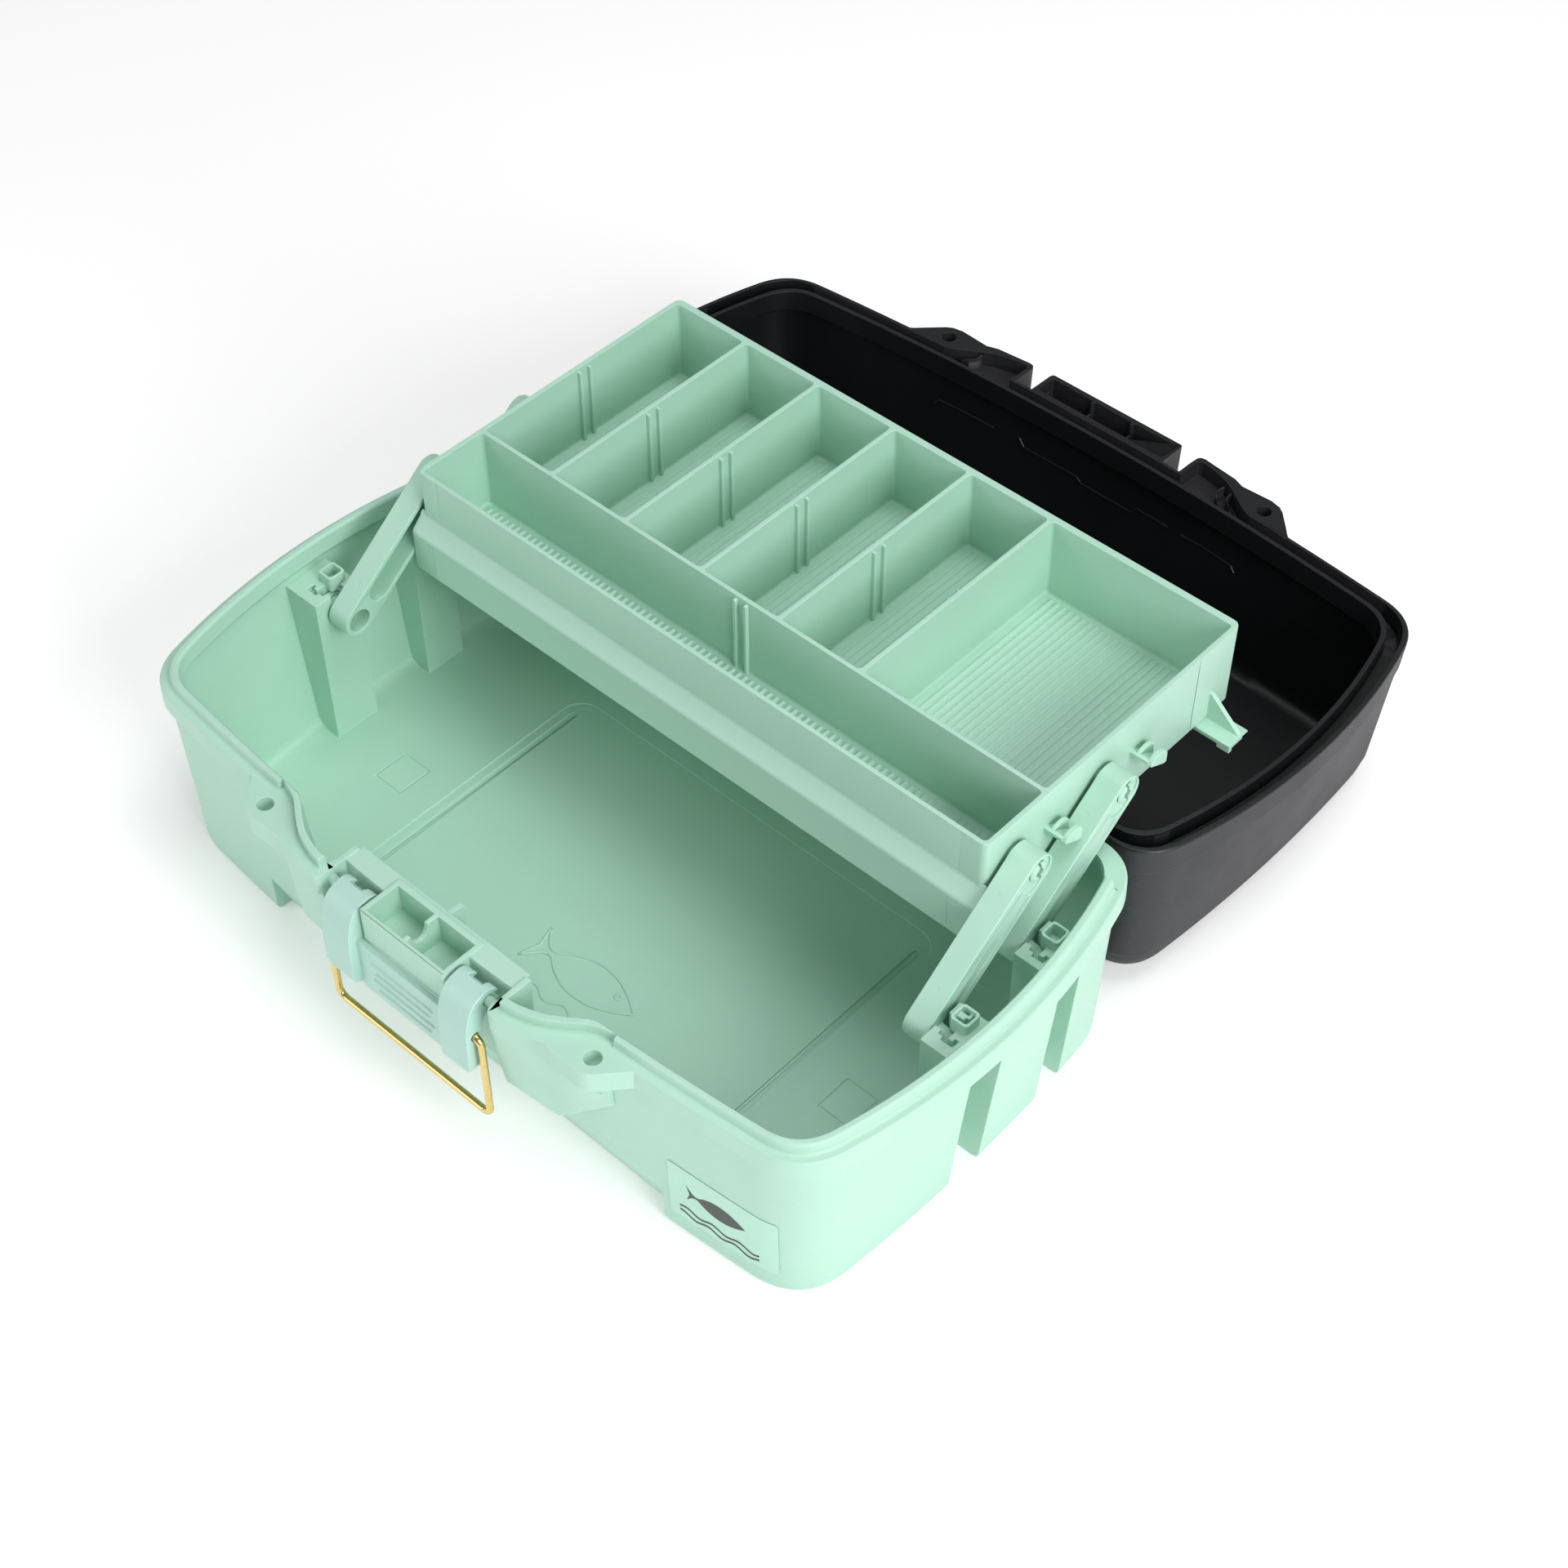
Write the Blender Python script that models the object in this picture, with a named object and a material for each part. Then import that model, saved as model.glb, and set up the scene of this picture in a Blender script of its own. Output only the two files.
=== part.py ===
# One-tray fishing tackle box, 14 x 8 x 6 1/4 inch class, shown open with the tray swung up.
# World axes: X along the length, Y from the latch side (front) to the hinge side, Z up.
# All driving dimensions are in millimetres; meshes are scaled to metres when an object is made.
import bpy
import bmesh
import math
from mathutils import Matrix, Vector

for _o in list(bpy.data.objects):
    bpy.data.objects.remove(_o, do_unlink=True)

# ------------------------------------------------------------------ driving dimensions
RIM_Z = 84.0            # top of the ledge the lid stands on
TONGUE_Z = 88.0         # top of the sealing tongue
SKIRT_Z = 74.5          # lower edge of the stiffening band under the rim
FLOOR_T = 3.0
DECK_Z = 82.5           # top of the front deck between the two tongue ends
CLEAR = 0.4             # running clearance between pieces

HINGE_Y, HINGE_Z = 95.9, 82.4
LID_SWING = 182.55      # degrees between closed and lying open on the floor
LID_TOP_Z = 157.0       # closed height of the lid's top face
KNUCKLE_R, PIN_R = 2.5, 1.1
HINGE_X = 105.0

ARM_LEN = 63.3
ARM_REST = 37.8         # degrees from +Y, tray raised
ARM_R = 7.0             # half width of an arm
ARM_X0, ARM_X1 = 141.0, 151.2
PIVOT_Z = 68.0
PIVOT_Y = (1.0, 49.0)

TRAY_X = 139.3
TRAY_Y0, TRAY_Y1 = 36.3, 179.2
TRAY_Z0, TRAY_Z1 = 85.8, 122.8
TRAY_FLOOR_Z = 87.3
TRAY_DIVIDER_Y = 69.2
TRAY_PARTITIONS = (-100.4, -61.8, -22.7, 15.5, 54.6)

POST_X = 152.5
POST_TOP_Z = 76.0
POSTS_Y = ((-10.5, 10.5), (38.8, 58.2))

LEVER_Y, LEVER_Z = -97.5, 79.2      # axis of the latch lever
BAIL_Y, BAIL_Z = -105.0, 66.0       # axis of the wire bail in the lever
BAIL_HALF = 39.6
BAIL_DROP = 45.0
WIRE_R = 1.4

HANDLE_Y, HANDLE_Z = 10.0, 150.0    # axis of the carrying handle, lid closed


# ------------------------------------------------------------------ helpers
def plan(a, b, wf, fb, wr, r, n_front=28, n_back=10, n_end=12, n_corner=6):
    """Outline of the box seen from above: bowed ends, bowed front, straight back,
    soft corners. a half length at the middle of an end, b bow of the ends, wf / fb
    half width and bow of the front, wr distance to the straight back, r corner."""
    yc, h, half = (wr - wf) / 2.0, (wr + wf) / 2.0, a - b

    def end(y):
        return a - b * ((y - yc) / h) ** 2

    def front(x):
        return -(wf + fb * (1.0 - min(1.0, (x / half) ** 2)))

    def corner(p, c, q):
        out = []
        for i in range(1, n_corner):
            t = i / n_corner
            out.append(((1 - t) ** 2 * p[0] + 2 * t * (1 - t) * c[0] + t * t * q[0],
                        (1 - t) ** 2 * p[1] + 2 * t * (1 - t) * c[1] + t * t * q[1]))
        return out

    pts = []
    y0, y1 = -wf + r, wr - r
    right = [(end(y0 + (y1 - y0) * i / n_end), y0 + (y1 - y0) * i / n_end) for i in range(n_end + 1)]
    back = [((half - r) * (1 - 2 * i / n_back), wr) for i in range(n_back + 1)]
    left = [(-x, y) for x, y in reversed(right)]
    xs = [-(half - r) + 2 * (half - r) * i / n_front for i in range(n_front + 1)]
    fr = [(x, front(x)) for x in xs]
    pts += right
    pts += corner(right[-1], (half, wr), back[0])
    pts += back
    pts += corner(back[-1], (-half, wr), left[0])
    pts += left
    pts += corner(left[-1], (-half, -wf), fr[0])
    pts += fr
    pts += corner(fr[-1], (half, -wf), right[0])
    return pts


def ring(z, *p):
    return [(x, y, z) for x, y in plan(*p)]


def body(verts, faces):
    me = bpy.data.meshes.new("body")
    me.from_pydata([Vector(v) for v in verts], [], faces)
    me.update()
    ob = bpy.data.objects.new("body", me)
    bpy.context.scene.collection.objects.link(ob)
    bm = bmesh.new()
    bm.from_mesh(me)
    bmesh.ops.recalc_face_normals(bm, faces=bm.faces)
    bmesh.ops.triangulate(bm, faces=[f for f in bm.faces if len(f.verts) == 4 and len(bm.verts) > 120])
    bm.to_mesh(me)
    bm.free()
    return ob


def loft(rings, closed=False):
    n = len(rings[0])
    verts = [p for r in rings for p in r]
    faces = []
    m = len(rings)
    for k in range(m if closed else m - 1):
        a, b = k * n, ((k + 1) % m) * n
        for i in range(n):
            j = (i + 1) % n
            faces.append((a + i, a + j, b + j, b + i))
    if not closed:
        faces.append(tuple(reversed(range(n))))
        faces.append(tuple(range((m - 1) * n, m * n)))
    return body(verts, faces)


def prism_z(poly, z0, z1):
    return loft([[(x, y, z0) for x, y in poly], [(x, y, z1) for x, y in poly]])


def prism_x(poly, x0, x1):
    return loft([[(x0, y, z) for y, z in poly], [(x1, y, z) for y, z in poly]])


def box(x0, x1, y0, y1, z0, z1):
    return prism_z([(x0, y0), (x1, y0), (x1, y1), (x0, y1)], z0, z1)


def rrect(x0, x1, y0, y1, r, n=3):
    pts = []
    for cx, cy, a0 in ((x1 - r, y1 - r, 0), (x0 + r, y1 - r, 90), (x0 + r, y0 + r, 180), (x1 - r, y0 + r, 270)):
        for i in range(n + 1):
            a = math.radians(a0 + 90.0 * i / n)
            pts.append((cx + r * math.cos(a), cy + r * math.sin(a)))
    return pts


def circle(cy, cz, r, n=24):
    return [(cy + r * math.cos(2 * math.pi * i / n), cz + r * math.sin(2 * math.pi * i / n)) for i in range(n)]


def cyl_x(cy, cz, r, x0, x1, n=24):
    return prism_x(circle(cy, cz, r, n), min(x0, x1), max(x0, x1))


def cyl_z(cx, cy, r, z0, z1, n=24):
    return prism_z([(cx + p - 0.0, q) for p, q in circle(0.0, cy, r, n)], z0, z1)


def capsule(u0, u1, r, n=10):
    pts = [(u1 + r * math.cos(math.radians(-90 + 180 * i / n)), r * math.sin(math.radians(-90 + 180 * i / n))) for i in range(n + 1)]
    pts += [(u0 + r * math.cos(math.radians(90 + 180 * i / n)), r * math.sin(math.radians(90 + 180 * i / n))) for i in range(n + 1)]
    return pts


def hull(points):
    bm = bmesh.new()
    for p in points:
        bm.verts.new(p)
    res = bmesh.ops.convex_hull(bm, input=bm.verts)
    loose = [g for g in res["geom_interior"] if isinstance(g, bmesh.types.BMVert)]
    bmesh.ops.delete(bm, geom=loose, context="VERTS")
    bmesh.ops.recalc_face_normals(bm, faces=bm.faces)
    me = bpy.data.meshes.new("hull")
    bm.to_mesh(me)
    bm.free()
    ob = bpy.data.objects.new("hull", me)
    bpy.context.scene.collection.objects.link(ob)
    return ob


def combine(target, tool, op):
    tool.hide_render = True
    tool.display_type = "WIRE"
    m = target.modifiers.new("cut", "BOOLEAN")
    m.operation, m.solver, m.object = op, "EXACT", tool
    deps = bpy.context.evaluated_depsgraph_get()
    deps.update()
    me = bpy.data.meshes.new_from_object(target.evaluated_get(deps))
    target.modifiers.clear()
    target.data = me
    bpy.data.objects.remove(tool, do_unlink=True)
    return target


def cut(target, *tools):
    for t in tools:
        combine(target, t, "DIFFERENCE")
    return target


def add(target, *tools):
    for t in tools:
        combine(target, t, "UNION")
    return target


def mirrored(ob):
    me = ob.data.copy()
    me.transform(Matrix.Scale(-1, 4, Vector((1, 0, 0))))
    me.flip_normals()
    o = bpy.data.objects.new("mirror", me)
    bpy.context.scene.collection.objects.link(o)
    return o


def both(ob):
    return ob, mirrored(ob)


def move(ob, mat):
    ob.data.transform(mat)
    return ob


def rot_x(deg, y, z):
    return (Matrix.Translation((0, y, z)) @ Matrix.Rotation(math.radians(deg), 4, "X")
            @ Matrix.Translation((0, -y, -z)))


def finish(ob, name, color, rough, pivot=(0, 0, 0), metal=0.0, alpha=1.0, sharp=35):
    """name, scale to metres, clean, put the origin on the pivot and give the piece its material"""
    bm = bmesh.new()
    bm.from_mesh(ob.data)
    bmesh.ops.remove_doubles(bm, verts=bm.verts, dist=0.004)
    bmesh.ops.dissolve_degenerate(bm, edges=bm.edges, dist=0.003)
    bmesh.ops.dissolve_limit(bm, angle_limit=math.radians(0.05), verts=bm.verts, edges=bm.edges)
    bmesh.ops.triangulate(bm, faces=[f for f in bm.faces if len(f.verts) > 4])
    bmesh.ops.recalc_face_normals(bm, faces=bm.faces)
    bm.to_mesh(ob.data)
    bm.free()
    me = ob.data
    me.transform(Matrix.Translation((-pivot[0], -pivot[1], -pivot[2])))
    me.transform(Matrix.Scale(0.001, 4))
    ob.location = (pivot[0] * 0.001, pivot[1] * 0.001, pivot[2] * 0.001)
    ob.name = name
    me.name = name
    mat = bpy.data.materials.new("m_" + name)
    mat.use_nodes = True
    bsdf = mat.node_tree.nodes["Principled BSDF"]
    bsdf.inputs["Base Color"].default_value = (color[0], color[1], color[2], 1.0)
    bsdf.inputs["Roughness"].default_value = rough
    bsdf.inputs["Metallic"].default_value = metal
    bsdf.inputs["Alpha"].default_value = alpha
    me.materials.clear()
    me.materials.append(mat)
    me.shade_smooth()
    me.set_sharp_from_angle(angle=math.radians(sharp))
    return ob


MINT = (0.40, 0.71, 0.54)
MINT_BLUE = (0.43, 0.68, 0.58)
CHARCOAL = (0.045, 0.045, 0.05)
BRASS = (0.72, 0.52, 0.22)
STEEL = (0.55, 0.55, 0.56)

# ------------------------------------------------------------------ base tub
EAR = [(98.0, -86.0), (86.5, -98.5), (81.5, -100.6), (65.0, -100.0), (59.5, -102.0), (47.0, -104.0),
       (42.6, -102.6), (42.0, -98.0), (42.0, -84.0), (98.0, -80.0)]
CREST = [(88.5, -81.9), (80.5, -84.0), (74.5, -86.2), (67.5, -91.2), (60.5, -95.6), (52.0, -98.6), (43.6, -99.6), (42.0, -98.0)]
POCKET = [(84.5, -81.2), (79.5, -82.2), (73.2, -84.4), (66.2, -89.4), (59.4, -93.6), (51.4, -96.4), (44.6, -97.2), (44.4, -95.0)]


def base_outer():
    return loft([
        ring(0.0, 166.2, 5.1, 78.3, 8.0, 90.5, 20.0),
        ring(1.2, 167.3, 5.1, 79.3, 8.6, 91.5, 21.0),
        ring(SKIRT_Z, 174.3, 13.0, 80.6, 9.4, 92.8, 17.0),
        ring(SKIRT_Z, 177.8, 14.3, 82.0, 9.6, 94.3, 16.0),
        ring(RIM_Z - 1.0, 177.6, 14.3, 81.7, 9.6, 94.1, 16.0),
        ring(RIM_Z, 177.2, 14.3, 81.3, 9.6, 93.7, 15.8),
        ring(RIM_Z, 174.2, 13.8, 78.6, 9.5, 91.0, 14.5),
        ring(TONGUE_Z - 0.8, 173.0, 13.4, 78.1, 9.5, 90.5, 14.0),
        ring(TONGUE_Z, 172.2, 13.3, 77.6, 9.5, 90.0, 13.8),
    ])


def base_inner():
    s = loft([
        ring(FLOOR_T, 162.6, 5.1, 74.6, 8.0, 86.8, 17.0),
        ring(FLOOR_T + 1.2, 163.8, 5.2, 75.6, 8.2, 87.8, 18.0),
        ring(78.0, 171.0, 12.8, 77.2, 9.3, 89.4, 14.5),
        ring(80.0, 169.3, 12.8, 75.5, 9.3, 87.8, 13.0),
        ring(TONGUE_Z - 0.6, 169.8, 13.0, 75.8, 9.4, 88.1, 12.6),
        ring(TONGUE_Z + 2.0, 171.8, 13.0, 77.3, 9.4, 89.7, 13.6),
    ])
    # the floor rises behind the scooped-out front
    cut(s, prism_x([(-73.6, 2.0), (-73.6, 3.0), (-85.3, 32.0), (-110.0, 32.0), (-110.0, 2.0)], -105.6, 105.6))
    # the front deck stays
    cut(s, box(-42.0, 42.0, -110.0, -82.5, -1.0, 95.0))
    # the cavity swells into the two front lobes
    low = [(78.0, -80.0), (76.0, -81.0), (72.0, -82.4), (65.0, -86.0), (59.0, -89.0), (52.0, -90.6), (46.0, -91.0), (45.6, -89.0)]
    pocket = loft([[(x, y, 42.0) for x, y in low] + [(45.6, -76.0, 42.0), (78.0, -76.0, 42.0)],
                   [(x, y, 91.0) for x, y in POCKET] + [(44.4, -76.0, 91.0), (84.5, -76.0, 91.0)]])
    add(s, *both(pocket))
    return s


def build_base():
    s = base_outer()
    # the straight tongue gives way to the curved one on the ears
    cut(s, box(-84.0, 84.0, -120.0, -72.0, RIM_Z, 95.0))
    cut(s, box(-42.0, 42.0, -120.0, -72.0, DECK_Z, 95.0))
    # no tongue at the back where the raised tray passes over the rim
    cut(s, box(-190.0, 190.0, 66.0, 120.0, RIM_Z - 0.05, 95.0))
    for o in both(prism_z(CREST + [(42.0, -74.0), (88.5, -74.0)], RIM_Z - 4.0, TONGUE_Z)):
        add(s, o)
    cut(s, box(-45.4, 45.4, -120.0, -82.0, RIM_Z, 95.0))
    for o in both(prism_z(EAR, SKIRT_Z, RIM_Z)):
        add(s, o)
    lobe = hull([(42, -102.4, 76.0), (47, -103.2, 76.0), (64, -99.6, 76.0), (84, -89.2, 76.0),
                 (42, -100.6, 54.0), (64, -99.0, 54.0), (84, -88.6, 54.0),
                 (42, -98.4, 39.0), (66, -96.6, 39.0), (42, -93.6, 29.6), (50, -93.0, 29.6),
                 (42, -84.0, 76.0), (84, -84.0, 76.0), (84, -84.0, 50.0), (66, -84.0, 35.0), (42, -84.0, 29.0), (50, -84.0, 29.0)])
    add(s, *both(lobe))
    # scooped-out front between the two feet
    cut(s, prism_x([(-77.6, -1.0), (-88.6, 29.0), (-94.0, 29.4), (-120.0, 29.4), (-120.0, -1.0)], -103.0, 103.0))
    cut(s, base_inner())
    # latch housing with two pockets, and the stiffening fin behind it
    add(s, prism_z(rrect(-21.3, 21.3, -103.0, -84.0, 1.0, 2), 68.6, RIM_Z))
    cut(s, box(-19.2, -1.2, -101.0, -86.6, 71.0, 90.0), box(1.2, 19.2, -101.0, -86.6, 71.0, 90.0),
        prism_x([(-97.8, 90.0), (-97.0, 81.0), (-94.0, 78.5), (-91.0, 81.0), (-90.2, 90.0)], -2.0, 2.0))
    add(s, prism_x([(-84.0, 60.0), (-84.0, DECK_Z - 0.6), (-76.0, DECK_Z - 1.5), (-75.0, 78.0), (-80.0, 60.0)], 0.4, 2.6))
    # bars the lever hooks on
    for o in both(cyl_x(LEVER_Y, LEVER_Z, 1.9, 20.6, 43.4, 16)):
        add(s, o)
    # padlock holes in the ears
    for o in both(cyl_z(82.3, -93.0, 3.15, 60.0, 95.0)):
        cut(s, o)
    # end posts, hollow from outside, slotted for the arm pegs
    for (p0, p1), py in zip(POSTS_Y, PIVOT_Y):
        # the outer face of a post stays inside the sloping end wall
        low, high = ((165.2, 165.2), (171.4, 171.4)) if py < 20.0 else ((164.6, 163.4), (170.4, 167.3))
        for o in both(hull([(POST_X, p0, 1.0), (POST_X, p1, 1.0), (POST_X, p0, POST_TOP_Z), (POST_X, p1, POST_TOP_Z),
                            (low[0], p0, 1.0), (low[1], p1, 1.0), (high[0], p0, POST_TOP_Z), (high[1], p1, POST_TOP_Z)])):
            add(s, o)
        for o in both(box(155.3, 190.0, p0 + 2.43, p1 - 2.43, -1.0, 71.07)):
            cut(s, o)
        for w, x0, x1 in ((3.5, 151.0, 155.6), (5.4, 155.3, 159.2)):
            arc = [(py + w * math.cos(math.radians(180 + 180 * i / 10)), PIVOT_Z + w * math.sin(math.radians(180 + 180 * i / 10))) for i in range(11)]
            for o in both(prism_x(arc + [(py + w, 80.0), (py - w, 80.0)], x0, x1)):
                cut(s, o)
    # hinge knuckles
    for sgn in (-1, 1):
        x = sgn * HINGE_X
        cut(s, box(x - 16.4, x + 16.4, HINGE_Y - KNUCKLE_R - 1.2, 120.0, HINGE_Z - KNUCKLE_R - 0.6, 90.0))
        add(s, cyl_x(HINGE_Y, HINGE_Z, KNUCKLE_R, x - 8.0, x + 8.0, 24),
            box(x - 7.93, x + 7.93, 90.27, 95.63, 76.0, 83.63))
        cut(s, cyl_x(HINGE_Y, HINGE_Z, PIN_R + 0.3, x - 20.0, x + 20.0, 16))
    return s


finish(build_base(), "base_tub", MINT, 0.55)


# ------------------------------------------------------------------ lid (modelled closed, turned open at the end)
LID_EAR = [(98.8, -86.0), (94.8, -90.6), (86.2, -99.4), (80.7, -100.6), (66.9, -99.8), (62.1, -101.6), (46.0, -103.4),
           (43.4, -102.4), (42.8, -99.0), (42.8, -84.0), (98.8, -80.0)]


def build_lid():
    z0 = RIM_Z + 0.4
    s = loft([
        ring(z0, 176.4, 13.8, 80.6, 9.6, 93.0, 15.5),
        ring(z0 + 0.8, 176.7, 13.8, 80.9, 9.6, 93.3, 15.5),
        ring(96.6, 176.2, 13.6, 80.4, 9.5, 92.8, 15.5),
        ring(97.2, 175.4, 13.2, 79.7, 9.4, 92.1, 15.5),
        ring(148.0, 167.5, 5.0, 76.5, 7.0, 89.0, 17.0),
        ring(153.0, 165.8, 4.4, 75.2, 6.6, 87.6, 17.0),
        ring(156.0, 162.8, 4.0, 73.0, 6.0, 85.0, 17.0),
        ring(LID_TOP_Z, 159.0, 3.6, 70.5, 5.8, 82.3, 16.0),
    ])
    for o in both(prism_z(LID_EAR, z0, 97.0)):
        add(s, o)
    add(s, prism_z(rrect(-34.2, 34.2, -104.0, -84.0, 1.6, 2), z0, 105.6))
    cut(s, loft([
        ring(z0 - 2.0, 167.0, 12.6, 73.0, 9.2, 85.4, 13.0),
        ring(94.0, 166.8, 12.6, 72.8, 9.2, 85.2, 13.0),
        ring(97.5, 172.3, 13.0, 76.8, 9.2, 89.2, 14.5),
        ring(148.0, 164.9, 5.0, 73.9, 6.8, 86.4, 16.0),
        ring(152.6, 162.4, 4.4, 71.8, 6.3, 84.2, 15.0),
        ring(154.4, 158.0, 4.0, 68.5, 5.8, 81.0, 14.0),
    ]))
    # groove that takes the tongue of the tub
    cut(s, loft([
        ring(z0 - 2.0, 174.7, 13.8, 79.1, 9.5, 91.5, 14.6),
        ring(91.4, 174.0, 13.8, 78.6, 9.5, 91.0, 14.6),
        ring(91.4, 169.3, 13.0, 75.2, 9.3, 87.6, 13.0),
        ring(z0 - 2.0, 169.0, 13.0, 75.0, 9.3, 87.4, 13.0),
    ], closed=True))
    for o in both(prism_z([(90.0, -82.0), (81.4, -85.4), (75.4, -88.0), (68.4, -92.6), (61.2, -97.0), (52.4, -99.8), (44.9, -100.8),
                           (44.9, -86.6), (60.0, -84.6), (84.0, -82.0)], z0 - 2.0, 91.4)):
        cut(s, o)
    # the catch box is open below
    cut(s, prism_z(rrect(-31.6, 31.6, -101.6, -91.6, 1.0, 2), z0 - 2.0, 103.0))
    # padlock bosses
    for o in both(cyl_z(82.3, -93.0, 5.0, z0, 97.0)):
        add(s, o)
    for o in both(cyl_z(82.3, -93.0, 3.15, z0 - 2.0, 99.0)):
        cut(s, o)
    # recess of the carrying handle
    add(s, box(-79.0, 79.0, -25.0, 22.0, 140.6, 155.0))
    cut(s, prism_z(rrect(-75.5, 75.5, -22.4, 19.4, 4.0, 3), 143.2, 160.0))
    cut(s, cyl_x(HANDLE_Y, HANDLE_Z, 2.9, -77.8, 77.8, 20))
    # hinge knuckles
    for sgn in (-1, 1):
        x = sgn * HINGE_X
        cut(s, cyl_x(HINGE_Y, HINGE_Z, KNUCKLE_R + CLEAR, x - 8.4, x + 8.4, 24))
        cut(s, box(x - 8.4, x + 8.4, HINGE_Y - KNUCKLE_R - 0.6, 110.0, 80.0, HINGE_Z + KNUCKLE_R + 0.6))
        for x0, x1 in ((x - 16.0, x - 8.4), (x + 8.4, x + 16.0)):
            add(s, cyl_x(HINGE_Y, HINGE_Z, KNUCKLE_R, x0, x1, 24),
                prism_x([(92.4, 84.8), (94.2, 82.6), (97.5, 83.0), (95.2, 88.4), (92.4, 90.5)], x0 + 0.05, x1 - 0.05))
        cut(s, cyl_x(HINGE_Y, HINGE_Z, PIN_R + 0.3, x - 20.0, x + 20.0, 16))
    return s


lid = build_lid()
move(lid, rot_x(-LID_SWING, HINGE_Y, HINGE_Z))
finish(lid, "lid_shell", CHARCOAL, 0.5, (0.0, HINGE_Y, HINGE_Z))

for _side, _sgn in (("right", 1), ("left", -1)):
    pin = cyl_x(HINGE_Y, HINGE_Z, PIN_R, _sgn * HINGE_X - 16.0, _sgn * HINGE_X + 16.0, 20)
    finish(pin, "hinge_pin_" + _side, STEEL, 0.3, (_sgn * HINGE_X, HINGE_Y, HINGE_Z), metal=1.0)


# ------------------------------------------------------------------ carrying handle in the lid's top
def build_handle():
    s = prism_z(rrect(-71.0, 71.0, -19.0, 10.0, 3.5, 3), 146.0, 155.4)
    for o in both(cyl_x(HANDLE_Y, HANDLE_Z, 4.6, 58.0, 71.0, 24)):
        add(s, o)
    cut(s, prism_z(rrect(-58.0, 58.0, -7.5, 40.0, 4.0, 3), 140.0, 170.0))
    # keep only what lies inside the round ends
    for o in both(prism_x([(HANDLE_Y - 1.0, 155.0), (HANDLE_Y - 1.0, 160.0), (HANDLE_Y + 9.0, 160.0), (HANDLE_Y + 9.0, 140.0),
                           (HANDLE_Y - 1.0, 140.0), (HANDLE_Y - 1.0, 145.2), (HANDLE_Y + 3.0, 146.4), (HANDLE_Y + 4.7, 150.0), (HANDLE_Y + 3.0, 153.8)], 57.0, 72.0)):
        cut(s, o)
    for o in both(cyl_x(HANDLE_Y, HANDLE_Z, 2.5, 70.0, 77.2, 20)):
        add(s, o)
    return s


handle = build_handle()
turn = rot_x(-LID_SWING, HINGE_Y, HINGE_Z)
move(handle, turn)
hp = turn @ Vector((0.0, HANDLE_Y, HANDLE_Z))
finish(handle, "handle", CHARCOAL, 0.45, (0.0, hp.y, hp.z))


# ------------------------------------------------------------------ cantilever tray
def build_tray():
    s = prism_z(rrect(-TRAY_X, TRAY_X, TRAY_Y0, TRAY_Y1, 2.5, 3), TRAY_Z0, TRAY_Z1)
    # apron along the front
    add(s, prism_x([(TRAY_Y0 + 1.0, 101.4), (TRAY_Y0, 100.6), (31.0, 95.3), (31.0, 77.0), (32.8, 77.0), (32.8, 94.4),
                    (TRAY_Y0 + 1.0, 98.6)], -140.2, 140.2))
    # long front compartment
    cut(s, prism_z(rrect(-TRAY_X + 1.9, TRAY_X - 1.9, TRAY_Y0 + 1.8, TRAY_DIVIDER_Y - 0.9, 1.2, 2), TRAY_FLOOR_Z, 130.0))
    # six rear compartments
    edges = [-TRAY_X + 1.0] + list(TRAY_PARTITIONS) + [TRAY_X - 1.0]
    for x0, x1 in zip(edges[:-1], edges[1:]):
        cut(s, prism_z(rrect(x0 + 0.9, x1 - 0.9, TRAY_DIVIDER_Y + 0.9, TRAY_Y1 - 3.0, 1.2, 2), TRAY_FLOOR_Z, 130.0))
    for py in PIVOT_Y:
        uy = py + ARM_LEN * math.cos(math.radians(ARM_REST))
        uz = PIVOT_Z + ARM_LEN * math.sin(math.radians(ARM_REST))
        # snap peg the arm's eye turns on
        for o in both(cyl_x(uy, uz, 3.4, 138.4, 150.5, 20)):
            add(s, o)
        for o in both(cyl_x(uy, uz, 4.2, 150.4, 151.5, 20)):
            add(s, o)
        # stop lug behind each peg
        for o in both(prism_x([(uy + 17.0, uz + 1.0), (uy + 27.0, uz + 1.0), (uy + 27.0, uz - 6.8), (uy + 25.0, uz - 6.8), (uy + 17.0, uz - 1.9)], 138.4, 149.0)):
            add(s, o)
    # foot brackets that stand on the rear posts when the tray is down
    for o in both(box(138.4, 154.6, 158.5, 170.0, 83.5, 85.5)):
        add(s, o)
    for o in both(prism_z([(138.4, 165.0), (151.0, 165.0), (151.0, 167.0), (138.4, 167.0)], 85.0, 90.0)):
        add(s, o)
    for o in both(box(149.0, 154.6, 158.5, 160.6, 81.9, 84.0)):
        add(s, o)
    return s


TRAY_AXIS = (0.0, PIVOT_Y[0] + ARM_LEN * math.cos(math.radians(ARM_REST)), PIVOT_Z + ARM_LEN * math.sin(math.radians(ARM_REST)))
finish(build_tray(), "tray", MINT, 0.5, TRAY_AXIS)


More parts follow.
